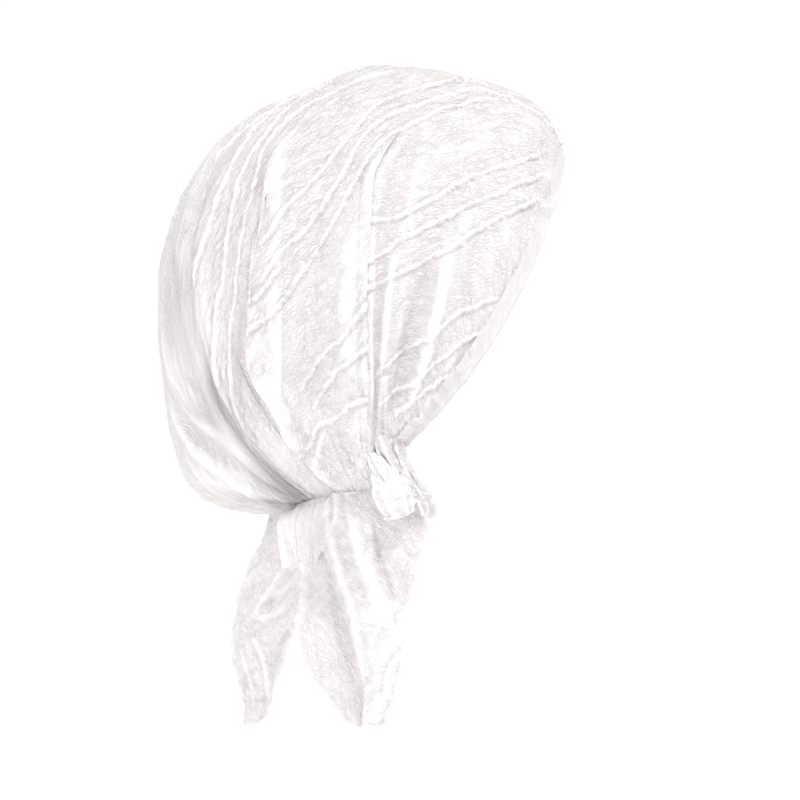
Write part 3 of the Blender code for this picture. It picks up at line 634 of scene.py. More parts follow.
def rib_height(rib, seen, normals, ends=0.003):
    """A raised cord with a narrow dent on each side, and its painted highlight on the cord and painted shade in the
    dents.
    """
    distance, side, run, total = line_distance(seen, normals, rib.points)
    fade = ease(run / ends) * ease((total - run) / ends)
    body = np.exp(-((distance / RIB_WIDTH) ** 2)) * fade
    dent = np.exp(-(((distance * side - 1.9 * RIB_WIDTH) / (1.1 * RIB_WIDTH)) ** 2)) * fade
    far_dent = np.exp(-(((distance * side + 1.8 * RIB_WIDTH) / RIB_WIDTH) ** 2)) * fade
    beads = 0.88 + 0.28 * np.sin(run / 0.0019 + 2.6 * np.sin(run / 0.0067)) + 0.22 * np.sin(run / 0.0083)
    fade = fade * (0.86 + 0.20 * np.sin(run / 0.0049 + 2.0 * np.sin(run / 0.013)))
    rib_light_and_shade = (1.5 * body - 0.8 * dent - 0.4 * far_dent) * (0.4 + 0.6 * beads)
    return RIB_HEIGHT * (body * beads - 0.60 * dent - 0.30 * far_dent), rib_light_and_shade


def ledge_height(ledge, seen, normals):
    """A layer that ends on the cloth below: a step up to the right of its edge, which then fades away."""
    distance, side, run, total = line_distance(seen, normals, ledge.points)
    ends = ease(run / 0.010) * ease((total - run) / 0.010)
    signed = -distance * side
    step = ease((signed + 0.0007) / 0.0014) * np.exp(-((np.maximum(signed, 0) / 0.009) ** 2))
    lip = 0.35 * np.exp(-(((signed - 0.0009) / 0.0008) ** 2))
    return ledge.height * 0.001 * (step + lip) * ends


def blurred(field, size):
    """A field averaged over a square of size steps."""
    kernel = np.ones(size) / size
    pad = size // 2
    for axis in (0, 1):
        width = [(pad, pad) if k == axis else (0, 0) for k in range(2)]
        padded = np.pad(field, width, mode="edge")
        total = np.cumsum(np.insert(padded, 0, 0.0, axis=axis), axis=axis)
        length = field.shape[axis]
        upper = np.take(total, np.arange(size, size + length), axis=axis)
        lower = np.take(total, np.arange(0, length), axis=axis)
        field = (upper - lower) * kernel[0]
    return field


def relief_of(height, size=13, scale=0.0011):
    """From -1 in the narrow hollows of a height field to 1 on its narrow ridges."""
    return np.clip((height - blurred(height, size)) / scale, -1.0, 1.0)


def arc_lengths(grid, axis):
    """Distance along each line of a grid, from its middle."""
    steps = np.linalg.norm(np.diff(grid, axis=axis), axis=2)
    pad = [(1, 0) if k == axis else (0, 0) for k in range(2)]
    run = np.cumsum(np.pad(steps, pad), axis=axis)
    middle = run.shape[axis] // 2
    return run - np.take(run, [middle], axis=axis)


def mesh_piece(name, grid, material, cloth=None, masks=None, close=False, normals=None):
    """A piece of cloth from a grid of points, with its cloth coordinates and masks for its material."""
    rows, columns = grid.shape[:2]
    points = grid.reshape(-1, 3)
    index = np.arange(rows * columns).reshape(rows, columns)
    if close:
        index = np.concatenate([index, index[:, :1]], axis=1)
    corners = np.stack([index[:-1, :-1], index[:-1, 1:], index[1:, 1:], index[1:, :-1]], axis=-1).reshape(-1, 4)
    mesh = bpy.data.meshes.new(name)
    mesh.vertices.add(len(points))
    mesh.vertices.foreach_set("co", points.astype(np.float32).ravel())
    mesh.loops.add(corners.size)
    mesh.loops.foreach_set("vertex_index", corners.astype(np.int32).ravel())
    mesh.polygons.add(len(corners))
    mesh.polygons.foreach_set("loop_start", np.arange(0, corners.size, 4, dtype=np.int32))
    mesh.polygons.foreach_set("loop_total", np.full(len(corners), 4, dtype=np.int32))
    mesh.update(calc_edges=True)
    if cloth is not None:
        layer = mesh.uv_layers.new(name="cloth")
        uv = cloth.reshape(-1, 2)
        layer.data.foreach_set("uv", uv[corners.ravel()].astype(np.float32).ravel())
    for mask_name, values in (masks or {}).items():
        mask = mesh.attributes.new(mask_name, "FLOAT", "POINT")
        mask.data.foreach_set("value", np.broadcast_to(values, (rows, columns)).astype(np.float32).ravel())
    mesh.materials.append(material)
    mesh.shade_smooth()
    if normals is not None:
        mesh.normals_split_custom_set_from_vertices([tuple(n) for n in normals.reshape(-1, 3)])
    thing = bpy.data.objects.new(name, mesh)
    bpy.context.scene.collection.objects.link(thing)
    return thing


def pleat_rows(pleat, rows, seen):
    """The row of SECTIONS on which a pleat's edge lies, at each turn from the right foot to the left one."""
    line = smooth_line(pleat.points)
    order = np.argsort(line[:, 1])
    gap = seen[..., 0] - np.interp(seen[..., 1], line[order, 1], line[order, 0])
    near = np.abs(rows - pleat.row) < 1.1
    rows, gap = rows[near], gap[near]
    half = seen.shape[1] // 2 + 1
    found = np.empty(half)
    for j in range(half):
        change = np.flatnonzero((gap[:-1, j] > 0) & (gap[1:, j] <= 0))
        if len(change):
            i = change[0]
            found[j] = rows[i] + (rows[i + 1] - rows[i]) * gap[i, j] / (gap[i, j] - gap[i + 1, j])
        else:
            found[j] = pleat.row + (0.9 if gap[:, j].min() > 0 else -0.9)
    found = np.clip(found, pleat.row - 0.9, pleat.row + 0.9)
    found = np.convolve(np.pad(found, 8, mode="edge"), np.ones(17) / 17, mode="valid")
    found[:14] = found[14]
    other = seen.shape[1] - half
    return np.concatenate([found, found[:other][::-1]])


def crown_sheet():
    """The crown's cloth at full detail, as one grid from the front hem to the nape, and where panels end."""
    turns = even_turns(CROWN_COLUMNS)
    rise = np.sin(turns) ** ARCH_CROWDING
    rows = np.linspace(0, len(SECTIONS) - 1, 560)
    base = arches(rows_at(SECTIONS, rows), turns)
    base_normals = grid_normals(base)

    # The path at each turn, folded round the pleat edges below and opened out above them
    path = np.array(PATH, float)
    flat = np.repeat(path[:, :1], CROWN_COLUMNS, axis=1)
    folded = flat.copy()
    for k, pleat in enumerate(PLEATS):
        shut = 1 - ease((rise - pleat.opens_at) / (pleat.open_at - pleat.opens_at))
        edge = pleat_rows(pleat, rows, side_view(base))
        mine = path[:, 1] == k + 1
        round_edge = edge[None] + path[mine, 2:3]
        folded[mine] = flat[mine] + (round_edge - flat[mine]) * shut[None]
    shut_lifts = np.ones((len(path), CROWN_COLUMNS))
    knots = np.concatenate([folded, path[:, 3:4] * shut_lifts, path[:, 4:5] * shut_lifts, path[:, :1] * shut_lifts], axis=1)

    # Even steps along the path, more of them where the panels ask for it
    dense = np.linspace(0, len(PATH) - 1, 6000)
    fine = rows_at(knots, dense)
    middle = int(CROWN_COLUMNS * 0.24)
    at_row = fine[:, middle]
    i = np.clip((at_row / rows[-1] * (len(rows) - 1)).astype(int), 0, len(rows) - 1)
    line = base[i, middle] + base_normals[i, middle] * (fine[:, CROWN_COLUMNS + middle] * FOLD_DEPTH)[:, None]
    run = np.concatenate([[0.0], np.cumsum(np.linalg.norm(np.diff(line, axis=0), axis=1))])
    run = np.convolve(np.pad(run, 20, mode="edge"), np.ones(41) / 41, mode="valid") + dense * 1e-5
    flat_row = fine[:, 3 * CROWN_COLUMNS]
    picks, cuts, first = [], [0], 0.0
    for panel in PANELS:
        last = float(np.interp(panel.last, flat_row, run))
        steps = np.linspace(first, last, panel.steps + 1)
        picks.append(steps[1:] if len(picks) else steps)
        first = last
        cuts.append(cuts[-1] + panel.steps)
    at = np.interp(np.concatenate(picks), run, dense)
    table = rows_at(knots, at)
    u = np.clip(table[:, :CROWN_COLUMNS], 0, rows[-1])
    lift = table[:, CROWN_COLUMNS : 2 * CROWN_COLUMNS]
    reach = table[:, 2 * CROWN_COLUMNS : 3 * CROWN_COLUMNS]
    flat_rows = table[:, 3 * CROWN_COLUMNS]

    spot = u / rows[-1] * (len(rows) - 1)
    i = np.clip(spot.astype(int), 0, len(rows) - 2)
    f = (spot - i)[..., None]
    columns = np.arange(CROWN_COLUMNS)[None]
    grid = base[i, columns] * (1 - f) + base[i + 1, columns] * f
    normals = base_normals[i, columns] * (1 - f) + base_normals[i + 1, columns] * f
    normals /= np.linalg.norm(normals, axis=2, keepdims=True)
    fade = ease(rise / FOLD_START)[None] * (1 - ease((rise[None] - reach) / FOLD_FADE))
    fade = fade * (1 - ease((rise[None] - 0.80) / 0.17))
    return grid, normals, FOLD_DEPTH * lift * fade, rise, turns, flat_rows, cuts


def crown_detail():
    """The finished crown grid, with its cloth coordinates and the masks for its material."""
    base, normals, height, rise, turns, flat_rows, cuts = crown_sheet()
    left = (turns > math.pi / 2)[None]
    across = arc_lengths(base + normals * height[..., None], 0)
    along = arc_lengths(base, 1)
    cloth = np.stack([across, along], axis=-1)
    climb = np.broadcast_to(rise[None], height.shape)

    # Wide hollows, puckers, and the gathers that run up from the knot
    height = height + 0.0010 * wander(cloth, (0.022, 0.050), 1)
    height += 0.00050 * wander(cloth, (0.009, 0.018), 11)
    height += 0.00030 * wander(cloth, (0.0042, 0.008), 21)
    rows_seen = np.broadcast_to(flat_rows[:, None], height.shape)
    fan = np.stack([rows_seen + 40.0 * left, climb * 1.6], axis=-1)
    foot = np.exp(-((climb / 0.20) ** 1.5))
    inside = across - across[:1]
    hem = 1 - ease((inside - 0.006) / 0.006)
    loose = 0.30 + 0.70 * ease(inside / 0.032)
    height += 0.0013 * loose * foot * ease(climb / 0.03) * wander(fan, (0.34, 1.3), 31)
    height += 0.0003 * loose * np.exp(-climb / 0.16) * ease(climb / 0.02) * wander(fan, (0.15, 0.7), 41)
    height += 0.0005 * loose * np.exp(-climb / 0.45) * wander(fan, (0.22, 0.8), 51)

    # Folds, dents and ribs, a little moved on the far side so that the two sides aren't mirror images
    seen = side_view(base)
    seen[..., 0] += np.where(left, 7.0 * wander(cloth, (0.08, 0.09), 61), 0.0)
    seen[..., 1] += np.where(left, 7.0 * wander(cloth, (0.09, 0.08), 62), 0.0)
    cords_light_and_shade = np.zeros(height.shape)
    calm = np.zeros(height.shape)
    shaken = seen.copy()
    shaken[..., 0] += 1.1 * wander(cloth, (0.010, 0.010), 63) + 0.9 * wander(cloth, (0.0030, 0.0030), 65)
    shaken[..., 1] += 1.1 * wander(cloth, (0.011, 0.009), 64) + 0.9 * wander(cloth, (0.0030, 0.0030), 66)
    for k, panel in enumerate(PANELS):
        part = slice(cuts[k] + (1 if k else 0), cuts[k + 1] + 1)
        calm[part] = panel.calm
        for stroke in STROKES:
            if stroke.panel == panel.name:
                height[part] += stroke_height(stroke, seen[part], normals[part])
        for ledge in LEDGES:
            if ledge.panel == panel.name:
                height[part] += ledge_height(ledge, seen[part], normals[part])
        for rib in RIBS:
            if panel.name in rib.panel.split():
                raised, rib_light_and_shade = rib_height(rib, shaken[part], normals[part])
                quiet = 1 - 0.8 * hem[part]
                height[part] += raised * quiet
                # Painted highlight on the cords and painted shade in the dents beside them
                cords_light_and_shade[part] += rib_light_and_shade * quiet

    # The smooth cloth over the bag, and the turned front hem
    smooth = ((seen[..., 0] - SMOOTH_BAG[0]) / SMOOTH_BAG[2]) ** 2 + ((seen[..., 1] - SMOOTH_BAG[1]) / SMOOTH_BAG[3]) ** 2
    calm = np.maximum(calm, 0.9 * np.exp(-(smooth**2)))
    calm = np.maximum(calm, hem)
    height += 0.0004 * np.exp(-(((inside - 0.0012) / 0.0012) ** 2))
    height -= 0.00035 * np.exp(-(((inside - 0.0105) / 0.0010) ** 2)) * (0.7 + 0.3 * np.sin(along / 0.0008))
    height += 0.00025 * hem * wander(cloth, (0.012, 0.006), 71)
    # Painted shade in the narrow and broad hollows, kept weaker, and painted highlight on the ridges and cords; then
    # painted light lifting the shade where the bag runs into the gather
    broad = relief_of(height, 61, 0.0040) * (1 - ease((rise - 0.9) / 0.1))[None]
    painted_shading = np.clip(relief_of(height) + cords_light_and_shade + 0.30 * broad, -1.0, 1.0)
    painted_shading = np.where(painted_shading < 0, 0.4 * painted_shading, painted_shading)
    gather = ((seen[..., 0] - GATHER_PAINTED_LIGHT[0]) / GATHER_PAINTED_LIGHT[2]) ** 2 + ((seen[..., 1] - GATHER_PAINTED_LIGHT[1]) / GATHER_PAINTED_LIGHT[3]) ** 2
    behind = ease((flat_rows - PANELS[1].last) / 0.3)[:, None]
    painted_shading = painted_shading + 0.85 * behind * np.exp(-gather) * (1 - np.maximum(painted_shading, 0))
    return base + normals * height[..., None], across, along, painted_shading, calm, cuts


def with_skirt(grid, across, along, painted_shading, calm):
    """The crown with its gathered edge carried on below the tie, where the next pieces hide it."""
    count = 8
    sides = []
    for order in (grid, grid[:, ::-1]):
        foot = order[:, 0]
        lean = foot - order[:, 6]
        lean /= np.maximum(np.linalg.norm(lean, axis=1, keepdims=True), 1e-9)
        lean = 0.5 * lean + np.stack([-0.25 * np.sign(foot[:, 0]), 0 * lean[:, 0], -0.7 + 0 * lean[:, 0]], axis=1)
        lean /= np.linalg.norm(lean, axis=1, keepdims=True)
        steps = (np.arange(count) + 1)[None, :, None] * 0.0011
        sides.append(foot[:, None] + lean[:, None] * steps)
    grid = np.concatenate([sides[0][:, ::-1], grid, sides[1]], axis=1)
    run = (np.arange(count) + 1)[None] * 0.0011
    wide = ((0, 0), (count, count))
    across, painted_shading, calm = (np.pad(part, wide, mode="edge") for part in (across, painted_shading, calm))
    along = np.concatenate([along[:, :1] - run[:, ::-1], along, along[:, -1:] + run], axis=1)
    return grid, across, along, painted_shading, calm


def front_turning(grid, normals):
    """The inside of the front hem: the cloth turned round its edge and carried back 10 mm."""
    edge = grid[0]
    facing = normals[0]
    away = edge - grid[4]
    away -= (away * facing).sum(axis=1, keepdims=True) * facing
    away /= np.maximum(np.linalg.norm(away, axis=1, keepdims=True), 1e-9)
    roll = 0.0008
    rows = []
    for turn in np.linspace(0, math.pi, 9):
        rows.append(edge + away * roll * math.sin(turn) - facing * roll * (1 - math.cos(turn)))
    for k in range(1, 11):
        rows.append(rows[8] - away * 0.001 * k)
    return np.array(rows)[::-1]


def level_normals(line):
    along = np.gradient(line, axis=0)
    out = np.stack([-along[:, 1], along[:, 0], np.zeros(len(line))], axis=1)
    return out / np.maximum(np.linalg.norm(out, axis=1, keepdims=True), 1e-12)


def resampled(line, count):
    steps = np.linalg.norm(np.diff(line, axis=0), axis=1)
    run = np.concatenate([[0.0], np.cumsum(steps)])
    at = np.linspace(0.0, run[-1], count)
    return np.stack([np.interp(at, run, line[:, k]) for k in range(3)], axis=1)


def roll_grid(rolls, stations, points, folds, twist, seed, depth=0.20):
    """A roll of gathered cloth: rings square to its run, with folds that twist along it and small ruffles."""
    table = rows_at(rolls, np.linspace(0, len(rolls) - 1, stations))
    centres = np.stack(
        [
            table[:, 2] * CROWN_WIDTH / 2,
            (SIDE_FRONT - table[:, 0]) * SIDE_STEP,
            (SIDE_TOP - table[:, 1]) * SIDE_STEP,
        ],
        axis=1,
    )
    run = np.gradient(centres, axis=0)
    run /= np.linalg.norm(run, axis=1, keepdims=True)
    across = np.cross(run, [1.0, 0.0, 0.0])
    across /= np.linalg.norm(across, axis=1, keepdims=True)
    out = np.cross(across, run)
    length = np.linalg.norm(np.diff(centres, axis=0), axis=1).sum()
    turn = np.linspace(0, 2 * math.pi, points, endpoint=False)[None]
    along = np.linspace(0, length, stations)[:, None]
    share = along / length
    wave = turn * folds + twist * share * 2 * math.pi + 1.1 * np.sin(2 * turn + 4 * share + seed)
    loop = np.stack(np.broadcast_arrays(np.cos(turn) * 0.004, np.sin(turn) * 0.004, along), axis=-1)
    swell = 1 + depth * (0.6 - 1.6 * np.abs(np.sin(wave / 2)) ** 0.7)
    swell = swell + 0.16 * wander(loop, (0.0035, 0.0035, 0.0045), seed)
    swell = swell + 0.12 * wander(loop, (0.0014, 0.0014, 0.0018), seed + 1)
    swell = swell + 0.05 * wander(loop, (0.0007, 0.0007, 0.0009), seed + 2)
    ends = np.sqrt(np.clip(1 - (np.maximum(0, np.abs(share * 2 - 1) - 0.90) / 0.1001) ** 2, 0.0, 1.0))
    swell = swell * (0.05 + 0.95 * ends)
    grid = (
        centres[:, None]
        + across[:, None] * (np.cos(turn) * swell * table[:, 3:4] * 0.001)[..., None]
        + out[:, None] * (np.sin(turn) * swell * table[:, 4:5] * 0.001)[..., None]
    )
    cloth = np.stack(np.broadcast_arrays(turn * 0.006, along * 1.3), axis=-1)
    # Painted shade in the folds of the roll and painted highlight on their crests
    return grid, cloth, np.clip((swell - blurred(swell, 21)) / 0.16, -1.0, 1.0)


def tie_grid(stations, points):
    """The strap round the nape, gathered into many small cross folds."""
    at = np.linspace(0, len(TIE) - 1, stations)
    table = rows_at(TIE, at)
    centres = place(table[:, 1], table[:, 2], table[:, 0] * CROWN_WIDTH / 2)
    run = np.gradient(centres, axis=0)
    run /= np.linalg.norm(run, axis=1, keepdims=True)
    out = level_normals(centres)
    up = np.cross(out, run)
    turn = np.linspace(0, 2 * math.pi, points, endpoint=False)[None]
    length = np.linalg.norm(np.diff(centres, axis=0), axis=1).sum()
    along = np.linspace(0, length, stations)[:, None]
    cross = np.sin(along / 0.0011 + 1.6 * np.sin(along / 0.0061) + 0.5 * np.cos(turn))
    loop = np.stack(np.broadcast_arrays(np.cos(turn) * 0.004, np.sin(turn) * 0.004, along), axis=-1)
    swell = 0.97 + 0.07 * cross + 0.10 * wander(loop, (0.003, 0.003, 0.006), 5)
    ends = ease(along / 0.003) * ease((length - along) / 0.003)
    swell = swell * (0.25 + 0.75 * ends)
    grid = (
        centres[:, None]
        + up[:, None] * (np.cos(turn) * swell * table[:, 3:4] * TIE_WIDTH)[..., None]
        + out[:, None] * (np.sin(turn) * swell * table[:, 4:5] * TIE_THICKNESS)[..., None]
    )
    cloth = np.stack(np.broadcast_arrays(turn * TIE_WIDTH * 0.4, along), axis=-1)
    # Painted shade between the cross folds and painted highlight on their crests
    return grid, cloth, np.clip((swell - blurred(swell, 15)) / 0.10, -1.0, 1.0)


def flap_grid(stations):
    """The gathered hem below the tie, ruffled and frayed at its free edge."""
    rows = rows_at(SECTIONS, np.linspace(HEM_FIRST_ROW, len(SECTIONS) - 1, 90))
    feet = arches(rows, np.array([0.0, math.pi / 2, math.pi]))
    line = resampled(np.concatenate([feet[:, 0], feet[-1:, 1], feet[::-1, 2]]), stations)
    kernel = np.ones(9) / 9
    out = level_normals(line)
    out = np.stack([np.convolve(np.pad(out[:, k], 4, mode="edge"), kernel, mode="valid") for k in range(3)], axis=1)
    out /= np.linalg.norm(out, axis=1, keepdims=True)
    places = np.linspace(-1.0, 1.0, stations)
    middle = 0.35 + 0.85 * np.exp(-((places / 0.55) ** 4))
    turned = math.pi * 2.4 * HEM_FOLDS * places + 1.9 * np.sin(4.3 * places) + 1.1 * np.sin(11.0 * places)
    strength = 0.65 + 0.35 * np.cos(7.0 * places + 1.0)
    length = np.linalg.norm(np.diff(line, axis=0), axis=1).sum()
    along = np.linspace(0, length, stations)
    side = np.gradient(line, axis=0)
    side /= np.linalg.norm(side, axis=1, keepdims=True)
    downs = np.linspace(0, len(HEM) - 1, 52)
    table = rows_at(HEM, downs)
    grid, cloth, heights = [], [], []
    for flare, drop, ruffle in table:
        spots = np.stack([along, np.full(stations, drop * 0.03)], axis=-1)
        big = wander(spots, (0.0075, 0.030), 6)
        small = wander(spots, (0.0036, 0.016), 7)
        fine = wander(spots, (0.0016, 0.008), 8)
        sway = wander(spots, (0.009, 0.02), 9)
        lift = 0.0020 * drop * big + (0.3 + 0.7 * drop) * 0.0007 * small + 0.0003 * fine
        waves = np.cos(turned + 2.6 * drop * np.sign(places)) * strength
        reach = flare * FLAP_FLARE * middle + 0.62 * ruffle * RUFFLE_DEPTH * waves * (0.5 + 0.5 * middle) + lift
        frayed = 0.0018 * wander(along[:, None], (0.0012,), 12) + 0.0050 * wander(along[:, None], (0.007,), 13)
        fall = 0.0003 + 1.5 * CLOTH + drop * FLAP_DROP + frayed * drop**3
        grid.append(line + out * reach[:, None] + side * (0.0030 * drop * sway)[:, None] - fall[:, None] * [0, 0, 1.0])
        cloth.append(np.stack([along * 1.6, np.full(stations, drop * FLAP_DROP)], axis=-1) @ TAIL_TURN)
        heights.append(reach)
    # Painted shade in the hollows of the ruffles and painted highlight on their crests, over painted light on the whole
    # hem
    return np.array(grid), np.array(cloth), np.clip(0.60 + 0.6 * relief_of(np.array(heights), 31, 0.0014), -1.0, 1.0)


def tail_surface(name, rows, folds, down_steps, across_steps, width, length, forward, drop, seed):
    """A folded tail: at each height its turns lie between its lines, and stand out from the neck in layers."""
    lines = len(rows[0]) // 3
    down = np.linspace(0, len(rows) - 1, down_steps)
    table = rows_at(rows, down).reshape(down_steps, lines, 3)
    marks = place(
        forward + table[..., 0] * width / CROWN_LENGTH,
        drop + table[..., 1] * length / CROWN_DEPTH,
        table[..., 2] * CROWN_WIDTH / 2,
    )
    turns = rows_at(folds, np.linspace(0, len(folds) - 1, across_steps))
    level = marks[:, -1] - marks[:, 0]
    away = np.stack([level[:, 1], -level[:, 0], np.zeros(down_steps)], axis=1)
    away *= np.sign(away[:, :1] * marks[:, 0, :1]) / np.linalg.norm(away, axis=1, keepdims=True)
    share = down / down[-1]
    tucked = length * (1 - share) ** 3
    at = np.clip(turns[:, 0], 0, lines - 1)
    i = np.minimum(at.astype(int), lines - 2)
    f = (at - i)[None, :, None]
    spots = marks[:, i] * (1 - f) + marks[:, i + 1] * f
    overshoot = (turns[:, 0] - at)[None, :, None]
    spots = spots + overshoot * (marks[:, i + 1] - marks[:, i])
    grid = spots + away[:, None] * (turns[None, :, 1:2] * TAIL_LAYER)
    grid = grid - (turns[None, :, 2] * tucked[:, None])[..., None] * [0, 0, 1.0]
    kernel = np.ones(5) / 5
    normals = grid_normals(grid)
    flip = np.sign((normals * away[:, None]).sum(axis=2, keepdims=True))
    flip[flip == 0] = 1.0
    outward = away[:, None] * np.ones((1, across_steps, 1))
    across = arc_lengths(grid, 1)
    along = arc_lengths(grid, 0)
    cloth = np.stack([across, along], axis=-1)
    turned = cloth @ TAIL_TURN
    height = 0.0010 * wander(cloth, (0.010, 0.040), seed) + 0.0004 * wander(turned, (0.004, 0.012), seed + 1)
    height += 0.00025 * wander(turned, (0.0020, 0.005), seed + 2) + 0.0001 * wander(cloth, (0.0014, 0.002), seed + 5)
    top = np.exp(-share / 0.16)[:, None]
    height = height + 0.0010 * top * wander(cloth, (0.0040, 0.080), seed + 3)
    seen = side_view(grid)
    for stroke in TAIL_STROKES:
        if stroke.panel == name:
            height += stroke_height(stroke, seen, outward)
    edge = np.minimum(across - across[:, :1], across[:, -1:] - across)
    bottom = along[-1:] - along
    rim = np.minimum(edge, bottom)
    height += 0.0004 * np.exp(-(((rim - 0.0008) / 0.0010) ** 2)) - 0.0005 * np.exp(-(((rim - 0.0034) / 0.0009) ** 2))
    height += 0.0007 * np.exp(-rim / 0.005) * wander(cloth, (0.0040, 0.0040), seed + 4)
    grid = grid + outward * height[..., None]
    ragged = np.exp(-rim / 0.006)[..., None]
    grid[..., 1:2] += 0.0014 * ragged * wander(cloth, (0.0060, 0.0050), seed + 6)[..., None]
    grid[..., 2:3] += 0.0010 * ragged * wander(cloth, (0.0050, 0.0060), seed + 7)[..., None]
    calm = np.exp(-((rim / 0.0036) ** 4))
    # Painted shade in the hollows and painted highlight on the ridges; on the wide tail also painted shade over the
    # single sheer layer, the rear layer and the hollow below the knot, and painted highlight on the outer layers; the
    # narrow tail is painted lighter all over
    painted_shading = relief_of(height, 15, 0.0013) + 0.5 * relief_of(height, 45, 0.0030)
    if lines > 3:
        single = ease((turns[None, :, 0] - 2.02) / 0.12) * ease((0.62 - share[:, None]) / 0.2)
        behind = ease((0.95 - turns[None, :, 1]) / 0.2)
        pocket = ((seen[..., 0] - POCKET_PAINTED_SHADE[0]) / POCKET_PAINTED_SHADE[2]) ** 2 + ((seen[..., 1] - POCKET_PAINTED_SHADE[1]) / POCKET_PAINTED_SHADE[3]) ** 2
        painted_shading = painted_shading - 1.1 * single - 0.7 * behind - 1.1 * np.exp(-(pocket**2))
        painted_shading += 0.55 * ease((turns[None, :, 1] - 1.3) / 0.3)
    else:
        painted_shading = painted_shading + 0.30
    return grid, turned, np.clip(painted_shading, -1.0, 1.0), calm


# Materials

def node(tree, kind, **settings):
    made = tree.nodes.new(kind)
    for key, value in settings.items():
        setattr(made, key, value)
    return made


def math_node(tree, operation, a, b=None):
    made = node(tree, "ShaderNodeMath", operation=operation)
    for socket, value in zip(made.inputs, (a, b)):
        if value is None:
            continue
        if isinstance(value, (int, float)):
            socket.default_value = value
        else:
            tree.links.new(value, socket)
    return made.outputs[0]


